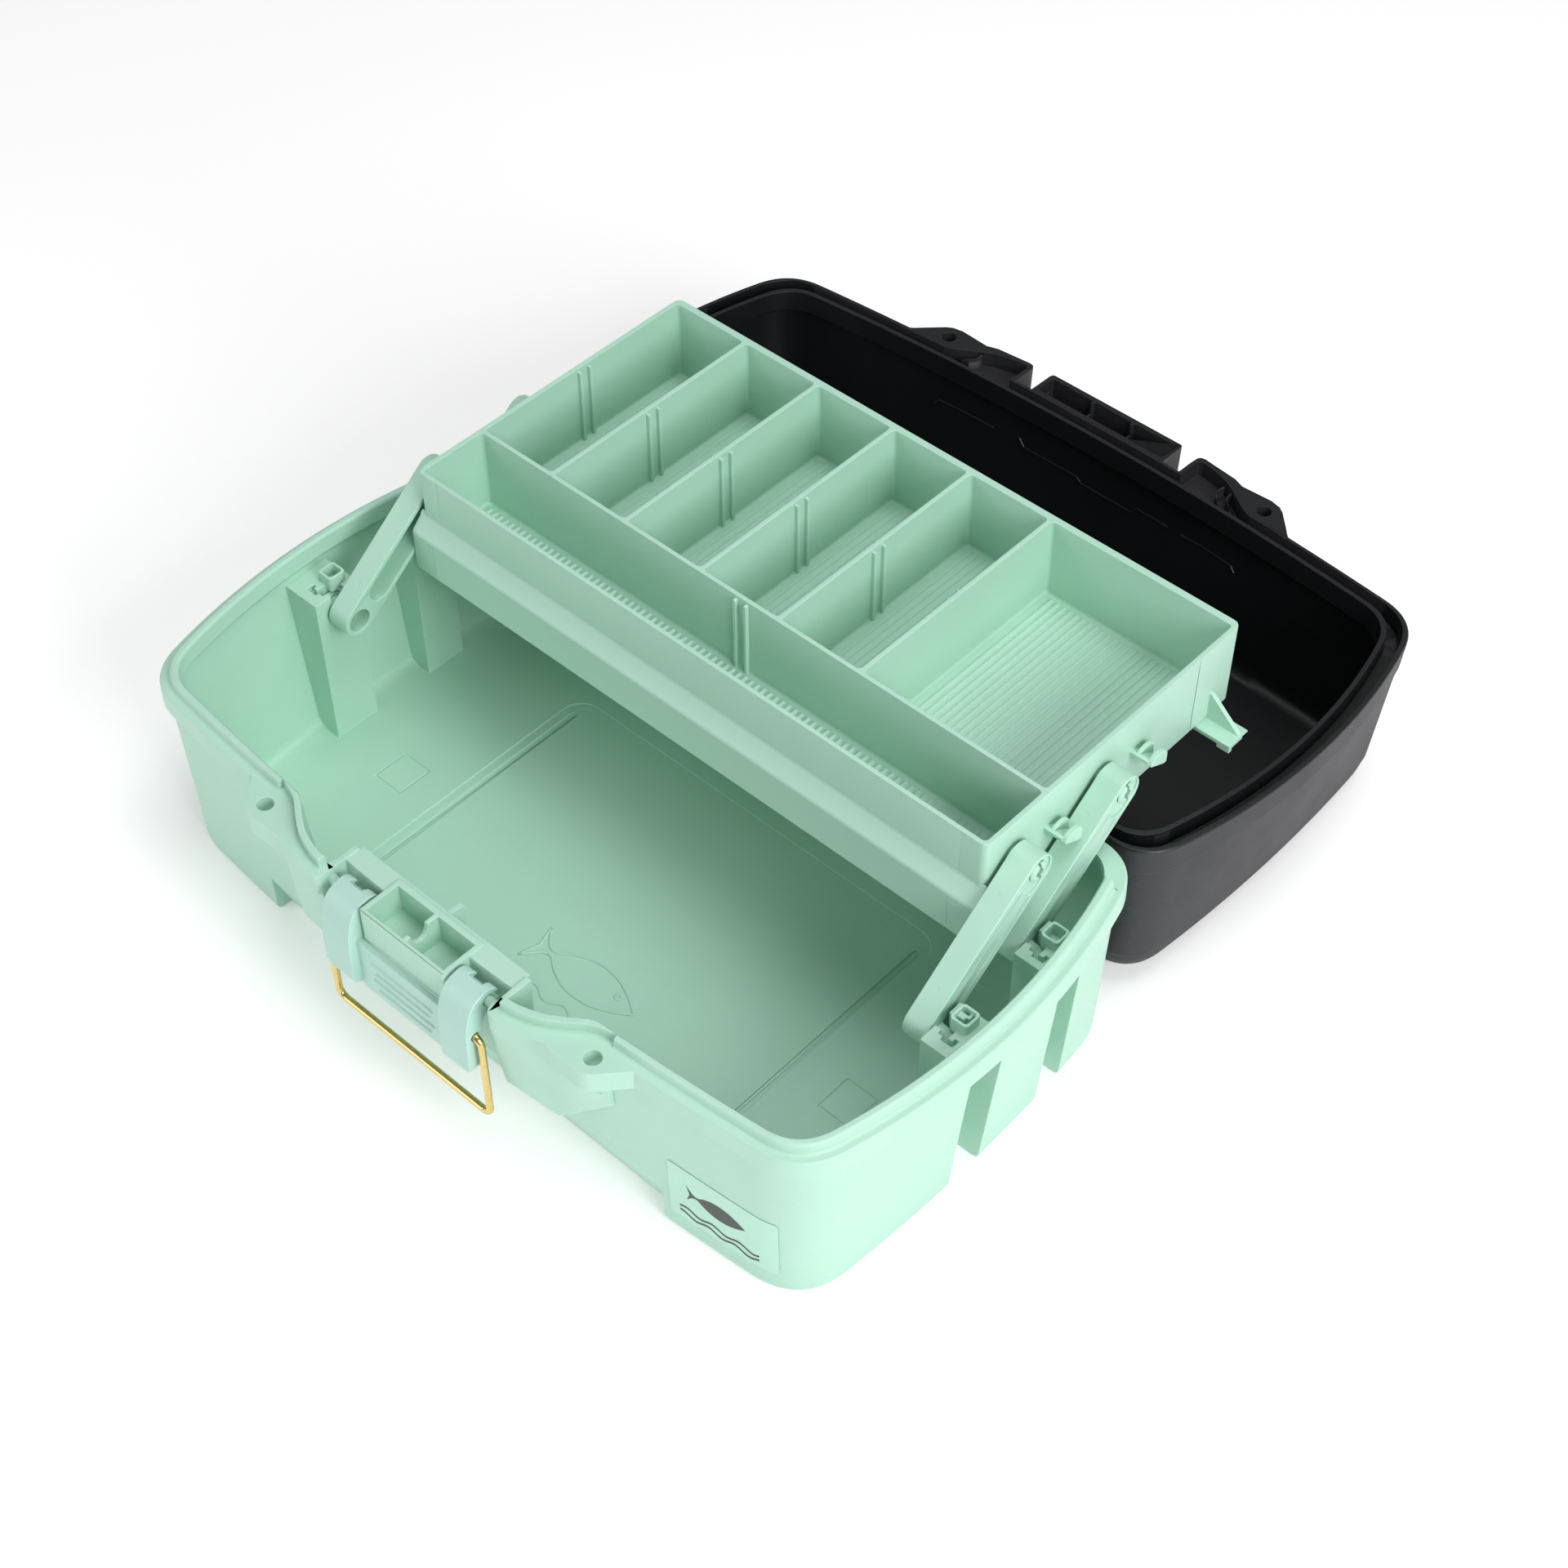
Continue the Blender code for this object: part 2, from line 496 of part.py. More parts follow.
# ------------------------------------------------------------------ arms
def build_arm(py, sgn):
    s = prism_x(capsule(0.0, ARM_LEN, ARM_R), ARM_X0, ARM_X1)
    cut(s, prism_x(circle(0.0, 0.0, 4.9, 20), 139.0, 148.9))
    cut(s, prism_x(capsule(14.4, ARM_LEN, 4.9), 139.0, 148.9))
    cut(s, prism_x(capsule(59.0, 65.0, 5.0), 150.1, 153.0))
    cut(s, prism_x(circle(ARM_LEN, 0.0, 3.75, 24), 147.0, 153.0))
    add(s, cyl_x(0.0, 0.0, 3.1, 150.0, 156.0, 20))
    add(s, cyl_x(0.0, 0.0, 4.9, 155.9, 158.2, 20))
    move(s, rot_x(ARM_REST, 0.0, 0.0))
    move(s, Matrix.Translation((0.0, py, PIVOT_Z)))
    if sgn < 0:
        m = mirrored(s)
        bpy.data.objects.remove(s, do_unlink=True)
        s = m
    return s


for _pos, _py in (("front", PIVOT_Y[0]), ("rear", PIVOT_Y[1])):
    for _side, _sgn in (("right", 1), ("left", -1)):
        arm = build_arm(_py, _sgn)
        finish(arm, "arm_" + _pos + "_" + _side, MINT, 0.5, (_sgn * 146.0, _py, PIVOT_Z))


# ------------------------------------------------------------------ latch lever and wire bail
def build_lever():
    leg = [(-101.9, 79.2), (-106.4, 75.4), (-108.6, 70.0), (-109.4, 62.0), (-109.4, 48.0), (-108.6, 43.4), (-106.6, 41.4),
           (-104.2, 41.6), (-102.6, 44.0), (-102.4, 64.0), (-101.2, 70.5), (-98.2, 74.9)]
    s = prism_x(leg, 22.5, 37.0)
    add(s, cyl_x(LEVER_Y, LEVER_Z, 4.4, 22.5, 37.0, 24))
    cut(s, cyl_x(LEVER_Y, LEVER_Z, 2.3, 20.0, 40.0, 20))
    cut(s, box(20.0, 40.0, LEVER_Y, LEVER_Y + 8.0, LEVER_Z - 1.75, LEVER_Z + 1.75))
    m = mirrored(s)
    add(s, box(-22.8, 22.8, -107.2, -103.4, 40.6, 67.6))
    add(s, m)
    for z in (46.0, 51.0, 56.0, 61.0):
        add(s, prism_x([(-107.0, z - 1.2), (-107.0, z + 1.2), (-108.4, z + 0.4), (-108.4, z - 0.4)], -18.0, 18.0))
    for o in both(cyl_x(BAIL_Y, BAIL_Z, WIRE_R + 0.35, 30.4, 40.0, 16)):
        cut(s, o)
    return s


finish(build_lever(), "latch_lever", MINT_BLUE, 0.5, (0.0, LEVER_Y, LEVER_Z))


def build_bail():
    r = 4.0
    z1 = BAIL_Z - BAIL_DROP
    path = [(31.0, BAIL_Z), (35.6, BAIL_Z)]
    for i in range(1, 6):
        a = math.radians(90 - 90 * i / 5)
        path.append((BAIL_HALF - 3.0 + 3.0 * math.cos(a), BAIL_Z - 3.0 + 3.0 * math.sin(a)))
    for i in range(0, 7):
        a = math.radians(-90 * i / 6)
        path.append((BAIL_HALF - r + r * math.cos(a), z1 + r + r * math.sin(a)))
    path += [(-x, z) for x, z in reversed(path)]
    rings = []
    for i, (x, z) in enumerate(path):
        x0, z0 = path[max(i - 1, 0)]
        x1, z1_ = path[min(i + 1, len(path) - 1)]
        d = Vector((x1 - x0, 0.0, z1_ - z0)).normalized()
        side = Vector((0.0, 1.0, 0.0))
        up = d.cross(side)
        c = Vector((x, BAIL_Y, z))
        rings.append([tuple(c + WIRE_R * (math.cos(2 * math.pi * k / 12) * side + math.sin(2 * math.pi * k / 12) * up)) for k in range(12)])
    return loft(rings)


finish(build_bail(), "bail", BRASS, 0.25, (0.0, BAIL_Y, BAIL_Z), metal=1.0)


# ------------------------------------------------------------------ printed clear sticker on the front wall
def wall_at(z, off):
    t = (z - 1.2) / (SKIRT_Z - 1.2)

    def mix(p, q):
        return p + (q - p) * t
    pts = plan(mix(167.3, 174.3) + off, mix(5.1, 13.0), mix(79.3, 80.6) + off, mix(8.6, 9.4), mix(91.5, 92.8) + off, mix(21.0, 17.0))
    return [(x, y, z) for x, y in pts if 106.0 < x and y < -72.0]


def build_label():
    rows = [10.5, 18.0, 26.0, 34.0, 41.5]
    n = min(len(wall_at(z, 0.2)) for z in rows)
    rings = []
    for z in rows:
        near = wall_at(z, 0.15)[:n]
        far = wall_at(z, 0.45)[:n]
        rings.append(near + far[::-1])
    return loft(rings)


finish(build_label(), "front_label", (0.80, 0.88, 0.84), 0.2, (130.0, -85.0, 26.0), alpha=0.6)
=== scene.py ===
# Looks of the tackle box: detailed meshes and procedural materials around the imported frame.
import math
import bpy
import bmesh
from mathutils import Matrix, Vector, noise


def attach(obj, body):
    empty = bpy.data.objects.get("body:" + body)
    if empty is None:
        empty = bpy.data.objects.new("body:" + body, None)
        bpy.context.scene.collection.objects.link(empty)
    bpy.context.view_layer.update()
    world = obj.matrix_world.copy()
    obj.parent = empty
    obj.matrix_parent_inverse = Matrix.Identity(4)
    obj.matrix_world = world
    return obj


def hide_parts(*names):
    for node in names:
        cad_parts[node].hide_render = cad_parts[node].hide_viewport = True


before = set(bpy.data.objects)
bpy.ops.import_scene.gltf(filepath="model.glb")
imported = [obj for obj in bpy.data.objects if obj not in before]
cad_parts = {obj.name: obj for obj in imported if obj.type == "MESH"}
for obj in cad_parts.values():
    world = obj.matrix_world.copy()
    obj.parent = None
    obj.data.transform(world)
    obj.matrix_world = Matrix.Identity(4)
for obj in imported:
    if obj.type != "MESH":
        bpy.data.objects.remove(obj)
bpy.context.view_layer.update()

# ------------------------------------------------------------------ driving dimensions, millimetres
RIM_Z, TONGUE_Z, SKIRT_Z, FLOOR_T, DECK_Z = 84.0, 88.0, 74.5, 3.0, 82.5
HINGE_Y, HINGE_Z, LID_SWING, LID_TOP_Z = 95.9, 82.4, 182.55, 157.0
KNUCKLE_R, PIN_R, HINGE_X, CLEAR = 2.5, 1.1, 105.0, 0.4
ARM_LEN, ARM_REST, ARM_R, ARM_X0, ARM_X1 = 63.3, 37.8, 7.0, 141.0, 151.2
PIVOT_Z, PIVOT_Y = 68.0, (1.0, 49.0)
TRAY_X, TRAY_Y0, TRAY_Y1, TRAY_Z0, TRAY_Z1 = 139.3, 36.3, 179.2, 85.8, 122.8
TRAY_FLOOR_Z, TRAY_DIVIDER_Y = 87.3, 69.2
TRAY_PARTITIONS = (-100.4, -61.8, -22.7, 15.5, 54.6)
POST_X, POST_TOP_Z = 152.5, 76.0
POSTS_Y = ((-10.5, 10.5), (38.8, 58.2))
LEVER_Y, LEVER_Z = -97.5, 79.2
BAIL_Y, BAIL_Z, BAIL_HALF, BAIL_DROP, WIRE_R = -105.0, 66.0, 39.6, 42.6, 1.4
HANDLE_Y, HANDLE_Z = 10.0, 150.0


# ------------------------------------------------------------------ mesh helpers
def plan(a, b, wf, fb, wr, r, n_front=40, n_back=12, n_end=20, n_corner=12):
    yc, h, half = (wr - wf) / 2.0, (wr + wf) / 2.0, a - b

    def end(y):
        return a - b * ((y - yc) / h) ** 2

    def front(x):
        return -(wf + fb * (1.0 - min(1.0, (x / half) ** 2)))

    def corner(p, c, q):
        out = []
        for i in range(1, n_corner):
            t = i / n_corner
            out.append(((1 - t) ** 2 * p[0] + 2 * t * (1 - t) * c[0] + t * t * q[0],
                        (1 - t) ** 2 * p[1] + 2 * t * (1 - t) * c[1] + t * t * q[1]))
        return out

    y0, y1 = -wf + r, wr - r
    right = [(end(y0 + (y1 - y0) * i / n_end), y0 + (y1 - y0) * i / n_end) for i in range(n_end + 1)]
    back = [((half - r) * (1 - 2 * i / n_back), wr) for i in range(n_back + 1)]
    left = [(-x, y) for x, y in reversed(right)]
    fr = [(x, front(x)) for x in [-(half - r) + 2 * (half - r) * i / n_front for i in range(n_front + 1)]]
    pts = list(right)
    pts += corner(right[-1], (half, wr), back[0])
    pts += back
    pts += corner(back[-1], (-half, wr), left[0])
    pts += left
    pts += corner(left[-1], (-half, -wf), fr[0])
    pts += fr
    pts += corner(fr[-1], (half, -wf), right[0])
    return pts


def ring(z, *p):
    return [(x, y, z) for x, y in plan(*p)]


def blend_ring(z, p, q, t):
    return ring(z, *[u + (v - u) * t for u, v in zip(p, q)])


def body(verts, faces, tri=True):
    me = bpy.data.meshes.new("body")
    me.from_pydata([Vector(v) for v in verts], [], faces)
    me.update()
    ob = bpy.data.objects.new("body", me)
    bpy.context.scene.collection.objects.link(ob)
    bm = bmesh.new()
    bm.from_mesh(me)
    bmesh.ops.recalc_face_normals(bm, faces=bm.faces)
    if tri:
        bmesh.ops.triangulate(bm, faces=[f for f in bm.faces if len(f.verts) == 4 and len(bm.verts) > 160])
    bm.to_mesh(me)
    bm.free()
    return ob


def loft(rings, closed=False, tri=True):
    n = len(rings[0])
    verts = [p for r in rings for p in r]
    faces = []
    m = len(rings)
    for k in range(m if closed else m - 1):
        a, b = k * n, ((k + 1) % m) * n
        for i in range(n):
            j = (i + 1) % n
            faces.append((a + i, a + j, b + j, b + i))
    if not closed:
        faces.append(tuple(reversed(range(n))))
        faces.append(tuple(range((m - 1) * n, m * n)))
    return body(verts, faces, tri)


def prism_z(poly, z0, z1):
    return loft([[(x, y, z0) for x, y in poly], [(x, y, z1) for x, y in poly]])


def prism_x(poly, x0, x1):
    return loft([[(x0, y, z) for y, z in poly], [(x1, y, z) for y, z in poly]])


def prism_y(poly, y0, y1):
    return loft([[(x, y0, z) for x, z in poly], [(x, y1, z) for x, z in poly]])


def box(x0, x1, y0, y1, z0, z1):
    return prism_z([(x0, y0), (x1, y0), (x1, y1), (x0, y1)], z0, z1)


def rrect(x0, x1, y0, y1, r, n=4):
    pts = []
    for cx, cy, a0 in ((x1 - r, y1 - r, 0), (x0 + r, y1 - r, 90), (x0 + r, y0 + r, 180), (x1 - r, y0 + r, 270)):
        for i in range(n + 1):
            a = math.radians(a0 + 90.0 * i / n)
            pts.append((cx + r * math.cos(a), cy + r * math.sin(a)))
    return pts


def circle(cy, cz, r, n=40):
    return [(cy + r * math.cos(2 * math.pi * i / n), cz + r * math.sin(2 * math.pi * i / n)) for i in range(n)]


def cyl_x(cy, cz, r, x0, x1, n=40):
    return prism_x(circle(cy, cz, r, n), min(x0, x1), max(x0, x1))


def cyl_z(cx, cy, r, z0, z1, n=40):
    return prism_z(circle(cx, cy, r, n), z0, z1)


def capsule(u0, u1, r, n=20):
    pts = [(u1 + r * math.cos(math.radians(-90 + 180 * i / n)), r * math.sin(math.radians(-90 + 180 * i / n))) for i in range(n + 1)]
    pts += [(u0 + r * math.cos(math.radians(90 + 180 * i / n)), r * math.sin(math.radians(90 + 180 * i / n))) for i in range(n + 1)]
    return pts


def smooth_line(pts, k=6):
    """Catmull-Rom curve through the points"""
    out = []
    for i in range(len(pts) - 1):
        p0, p1, p2, p3 = pts[max(i - 1, 0)], pts[i], pts[i + 1], pts[min(i + 2, len(pts) - 1)]
        for j in range(k):
            t = j / k
            out.append(tuple(0.5 * ((2 * b) + (-a + c) * t + (2 * a - 5 * b + 4 * c - d) * t * t + (-a + 3 * b - 3 * c + d) * t ** 3)
                             for a, b, c, d in zip(p0, p1, p2, p3)))
    out.append(tuple(pts[-1]))
    return out


def hull(points):
    bm = bmesh.new()
    for p in points:
        bm.verts.new(p)
    res = bmesh.ops.convex_hull(bm, input=bm.verts)
    loose = [g for g in res["geom_interior"] if isinstance(g, bmesh.types.BMVert)]
    bmesh.ops.delete(bm, geom=loose, context="VERTS")
    bmesh.ops.recalc_face_normals(bm, faces=bm.faces)
    me = bpy.data.meshes.new("hull")
    bm.to_mesh(me)
    bm.free()
    ob = bpy.data.objects.new("hull", me)
    bpy.context.scene.collection.objects.link(ob)
    return ob


def merged(obs):
    """several separate tools as one mesh object"""
    if len(obs) == 1:
        return obs[0]
    bm = bmesh.new()
    for o in obs:
        bm.from_mesh(o.data)
        bpy.data.objects.remove(o, do_unlink=True)
    me = bpy.data.meshes.new("tools")
    bm.to_mesh(me)
    bm.free()
    ob = bpy.data.objects.new("tools", me)
    bpy.context.scene.collection.objects.link(ob)
    return ob


def bake(target):
    deps = bpy.context.evaluated_depsgraph_get()
    deps.update()
    me = bpy.data.meshes.new_from_object(target.evaluated_get(deps))
    target.modifiers.clear()
    target.data = me
    return target


def volume(ob):
    bm = bmesh.new()
    bm.from_mesh(ob.data)
    v = bm.calc_volume(signed=True)
    bm.free()
    return v


def combine(target, tool, op):
    """boolean step; a result whose volume cannot be right is thrown away and tried again another way"""
    before, v0, v1 = target.data.copy(), volume(target), abs(volume(tool))
    for tries in range(3):
        m = target.modifiers.new("cut", "BOOLEAN")
        m.operation, m.solver, m.object = op, "EXACT", tool
        m.use_self = tries == 1
        if tries == 2:
            jig = Matrix.Translation((0.0013, 0.0017, 0.0011))
            tool.data.transform(jig)
        bake(target)
        v = volume(target)
        good = v0 - 0.5 <= v <= v0 + v1 * 1.01 + 0.5 if op == "UNION" else v0 - v1 * 1.01 - 0.5 <= v <= v0 + 0.5
        if good:
            break
        target.modifiers.clear()
        target.data = before.copy()
    else:
        print("STEP LEFT OUT", op, len(tool.data.vertices), [tuple(round(c, 1) for c in b) for b in (tool.bound_box[0], tool.bound_box[6])])
    bpy.data.objects.remove(tool, do_unlink=True)
    return target


def cut(target, *tools):
    return combine(target, merged(list(tools)), "DIFFERENCE")


def add(target, *tools):
    return combine(target, merged(list(tools)), "UNION")


def mirrored(ob):
    me = ob.data.copy()
    me.transform(Matrix.Scale(-1, 4, Vector((1, 0, 0))))
    me.flip_normals()
    o = bpy.data.objects.new("mirror", me)
    bpy.context.scene.collection.objects.link(o)
    return o


def both(ob):
    return [ob, mirrored(ob)]


def move(ob, mat):
    ob.data.transform(mat)
    return ob


def rot_x(deg, y, z):
    return (Matrix.Translation((0, y, z)) @ Matrix.Rotation(math.radians(deg), 4, "X")
            @ Matrix.Translation((0, -y, -z)))


def spread(me):
    return [[f(v.co[i] for v in me.vertices) for i in range(3)] for f in (min, max)]


def weigh_edges(me, width, angle):
    """every sharp edge is rounded as far as its neighbours leave room"""
    bm = bmesh.new()
    bm.from_mesh(me)
    layer = bm.edges.layers.float.get("bevel_weight_edge") or bm.edges.layers.float.new("bevel_weight_edge")
    lim = math.radians(angle)
    for e in bm.edges:
        e[layer] = 0.0
        if len(e.link_faces) != 2 or e.calc_face_angle(0.0) < lim or e.calc_length() < 0.02:
            continue
        d = (e.verts[1].co - e.verts[0].co).normalized()
        room = width * 2.3
        for v in e.verts:
            for o in v.link_edges:
                if o is e:
                    continue
                q = o.other_vert(v).co - v.co
                n = q.length
                if n < 1e-6:
                    continue
                across = math.sqrt(max(0.0, 1.0 - (q.dot(d) / n) ** 2))
                if across > 0.45:
                    room = min(room, n * across)
        w = min(1.0, room * 0.42 / width)
        e[layer] = w if w > 0.12 else 0.0
    bm.to_mesh(me)
    bm.free()


def finish(ob, name, mats, ride, replace=(), bevel=0.35, seg=2, angle=32, pick=None, sharp=None, split=False):
    """clean, round the edges, scale to metres, hang on its body"""
    bm = bmesh.new()
    bm.from_mesh(ob.data)
    bmesh.ops.remove_doubles(bm, verts=bm.verts, dist=0.01)
    bmesh.ops.dissolve_degenerate(bm, edges=bm.edges, dist=0.008)
    bmesh.ops.dissolve_limit(bm, angle_limit=math.radians(0.03), verts=bm.verts, edges=bm.edges)
    bmesh.ops.recalc_face_normals(bm, faces=bm.faces)
    if split:
        bmesh.ops.triangulate(bm, faces=[f for f in bm.faces if len(f.verts) > 4])
    bm.to_mesh(ob.data)
    bm.free()
    me = ob.data
    me.shade_smooth()
    if bevel:
        keep = me.copy()
        lo, hi = spread(me)
        for share in (1.0, 0.5, 0.0):
            if share == 0.0:
                ob.data = keep
                print("NO ROUNDING", name)
                break
            weigh_edges(ob.data, bevel * share, angle)
            m = ob.modifiers.new("edge", "BEVEL")
            m.width, m.segments, m.limit_method = bevel * share, seg, "WEIGHT"
            m.use_clamp_overlap = False
            bake(ob)
            lo2, hi2 = spread(ob.data)
            if max(max(p - q for p, q in zip(lo, lo2)), max(q - p for p, q in zip(hi, hi2))) < 0.03:
                break
            ob.data = keep.copy()
        me = ob.data
    bm = bmesh.new()
    bm.from_mesh(me)
    bmesh.ops.triangulate(bm, faces=[f for f in bm.faces if len(f.verts) > 4])
    bm.to_mesh(me)
    bm.free()
    me.set_sharp_from_angle(angle=math.radians(sharp or 36))
    me.materials.clear()
    for mt in mats:
        me.materials.append(mt)
    for p in me.polygons:
        p.material_index = 0
    if pick:
        for p in me.polygons:
            p.material_index = pick(p.center, p.normal)
    w = ob.modifiers.new("normals", "WEIGHTED_NORMAL")
    w.weight = 60
    w.keep_sharp = True
    bake(ob)
    ob.data.transform(Matrix.Scale(0.001, 4))
    ob.name = name
    ob.data.name = name
    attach(ob, ride)
    if replace:
        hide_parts(*replace)
    return ob


# ------------------------------------------------------------------ materials
def srgb(r, g, b):
    def f(c):
        c /= 255.0
        return c / 12.92 if c <= 0.04045 else ((c + 0.055) / 1.055) ** 2.4
    return (f(r), f(g), f(b), 1.0)


def plastic(name, base, dark, light, rough, rough_var, grain, grain_h, fine=None, fine_h=0.0, sss=0.0, spec=0.5, edge_highlight=0.25, mottling=2.0):
    """moulded plastic: cloudy colour, painted highlight on the convex edges, grain and uneven gloss, all in object
    space
    """
    mat = bpy.data.materials.new(name)
    mat.use_nodes = True
    nt = mat.node_tree
    n, l = nt.nodes, nt.links
    b = n["Principled BSDF"]
    tc = n.new("ShaderNodeTexCoord")
    cloud = n.new("ShaderNodeTexNoise")
    cloud.inputs["Scale"].default_value = 14.0
    cloud.inputs["Detail"].default_value = 3.0
    l.new(tc.outputs["Object"], cloud.inputs["Vector"])
    ramp = n.new("ShaderNodeValToRGB")
    ramp.color_ramp.elements[0].position = 0.30
    ramp.color_ramp.elements[0].color = dark
    ramp.color_ramp.elements[1].position = 0.70
    ramp.color_ramp.elements[1].color = base
    l.new(cloud.outputs["Fac"], ramp.inputs["Fac"])
    # painted highlight: a lighter colour mixed in on convex edges, driven by pointiness
    geo = n.new("ShaderNodeNewGeometry")
    er = n.new("ShaderNodeMapRange")
    er.inputs["From Min"].default_value = 0.53
    er.inputs["From Max"].default_value = 0.66
    er.inputs["To Min"].default_value = 0.0
    er.inputs["To Max"].default_value = edge_highlight
    l.new(geo.outputs["Pointiness"], er.inputs["Value"])
    mix = n.new("ShaderNodeMix")
    mix.data_type = "RGBA"
    mix.inputs["B"].default_value = light
    l.new(er.outputs["Result"], mix.inputs["Factor"])
    l.new(ramp.outputs["Color"], mix.inputs["A"])
    l.new(mix.outputs["Result"], b.inputs["Base Color"])
    # gloss varies with handling marks
    rn = n.new("ShaderNodeTexNoise")
    rn.inputs["Scale"].default_value = 60.0
    rn.inputs["Detail"].default_value = 5.0
    l.new(tc.outputs["Object"], rn.inputs["Vector"])
    rr = n.new("ShaderNodeMapRange")
    rr.inputs["To Min"].default_value = rough - rough_var
    rr.inputs["To Max"].default_value = rough + rough_var
    l.new(rn.outputs["Fac"], rr.inputs["Value"])
    l.new(rr.outputs["Result"], b.inputs["Roughness"])
    b.inputs["Specular IOR Level"].default_value = spec
    b.inputs["IOR"].default_value = 1.49
    if sss:
        b.inputs["Subsurface Weight"].default_value = sss
        b.inputs["Subsurface Radius"].default_value = (0.0016, 0.0022, 0.0018)
        b.inputs["Subsurface Scale"].default_value = 1.0
    # grain
    g = n.new("ShaderNodeTexNoise")
    g.inputs["Scale"].default_value = grain
    g.inputs["Detail"].default_value = mottling
    g.inputs["Roughness"].default_value = 0.6
    l.new(tc.outputs["Object"], g.inputs["Vector"])
    bump = n.new("ShaderNodeBump")
    bump.inputs["Strength"].default_value = 1.0
    bump.inputs["Distance"].default_value = grain_h
    l.new(g.outputs["Fac"], bump.inputs["Height"])
    last = bump
    if fine:
        v = n.new("ShaderNodeTexVoronoi")
        v.inputs["Scale"].default_value = fine
        l.new(tc.outputs["Object"], v.inputs["Vector"])
        b2 = n.new("ShaderNodeBump")
        b2.inputs["Strength"].default_value = 1.0
        b2.inputs["Distance"].default_value = fine_h
        l.new(v.outputs["Distance"], b2.inputs["Height"])
        l.new(bump.outputs["Normal"], b2.inputs["Normal"])
        last = b2
    l.new(last.outputs["Normal"], b.inputs["Normal"])
    return mat


MINT = srgb(178, 217, 198)
MINT_D = srgb(173, 213, 193)
# lighter mint used for the painted highlight on convex edges
MINT_EDGE_HIGHLIGHT = srgb(206, 235, 221)
mint_satin = plastic("mint_satin", MINT, MINT_D, MINT_EDGE_HIGHLIGHT, 0.42, 0.05, 900.0, 0.00002, sss=0.12)
mint_stipple = plastic("mint_stipple", MINT, MINT_D, MINT_EDGE_HIGHLIGHT, 0.56, 0.06, 1500.0, 0.00010, fine=1100.0, fine_h=0.00006, sss=0.10)
latch_mint = plastic("latch_mint", srgb(177, 214, 203), srgb(172, 209, 198), srgb(204, 231, 222), 0.48, 0.06, 1500.0, 0.00006, fine=1300.0, fine_h=0.00003, sss=0.08)
coal_out = plastic("charcoal_stipple", srgb(37, 37, 41), srgb(33, 33, 37), srgb(70, 70, 76), 0.55, 0.07, 1500.0, 0.00010, fine=1100.0, fine_h=0.00006, edge_highlight=0.35)
# the lid's inside is the same charcoal plastic as its outside: the satin finish is real, the darker base colour is
# painted shade, and the lighter edge colour is a painted highlight
coal_in_painted_shade = plastic("charcoal_satin_painted_shade", srgb(20, 22, 24), srgb(16, 18, 20), srgb(58, 60, 65), 0.42, 0.06, 900.0, 0.00002, edge_highlight=0.5)


def metal(name, base, dark, rough, streak):
    mat = bpy.data.materials.new(name)
    mat.use_nodes = True
    nt = mat.node_tree
    n, l = nt.nodes, nt.links
    b = n["Principled BSDF"]
    b.inputs["Metallic"].default_value = 1.0
    tc = n.new("ShaderNodeTexCoord")
    mp = n.new("ShaderNodeMapping")
    mp.inputs["Scale"].default_value = streak
    l.new(tc.outputs["Object"], mp.inputs["Vector"])
    t = n.new("ShaderNodeTexNoise")
    t.inputs["Scale"].default_value = 1.0
    t.inputs["Detail"].default_value = 4.0
    l.new(mp.outputs["Vector"], t.inputs["Vector"])
    r = n.new("ShaderNodeValToRGB")
    r.color_ramp.elements[0].position = 0.35
    r.color_ramp.elements[0].color = dark
    r.color_ramp.elements[1].position = 0.62
    r.color_ramp.elements[1].color = base
    l.new(t.outputs["Fac"], r.inputs["Fac"])
    l.new(r.outputs["Color"], b.inputs["Base Color"])
    m = n.new("ShaderNodeMapRange")
    m.inputs["To Min"].default_value = rough * 0.7
    m.inputs["To Max"].default_value = rough * 1.5
    l.new(t.outputs["Fac"], m.inputs["Value"])
    l.new(m.outputs["Result"], b.inputs["Roughness"])
    bp = n.new("ShaderNodeBump")
    bp.inputs["Distance"].default_value = 0.00003
    bp.inputs["Strength"].default_value = 0.5
    l.new(t.outputs["Fac"], bp.inputs["Height"])
    l.new(bp.outputs["Normal"], b.inputs["Normal"])
    return mat


brass = metal("brass_wire", (0.78, 0.58, 0.24, 1.0), (0.70, 0.50, 0.19, 1.0), 0.20, (2500.0, 2500.0, 900.0))
steel = metal("steel_pin", (0.62, 0.62, 0.63, 1.0), (0.45, 0.45, 0.46, 1.0), 0.30, (60.0, 900.0, 900.0))


# ------------------------------------------------------------------ studio
WORLD = 0.28
LIGHTS = (
    ("key", (1.5, -0.25, 0.95), (0.05, 0.02, 0.05), (0.9, 0.9), 21.5, (1.0, 1.0, 1.0)),
    ("top", (0.25, 0.30, 1.9), (0.0, 0.03, 0.0), (1.1, 1.1), 15.0, (1.0, 1.0, 1.0)),
    ("fill", (-0.9, -1.6, 0.75), (0.0, 0.0, 0.08), (1.2, 1.0), 9.5, (1.0, 1.0, 1.0)),
)


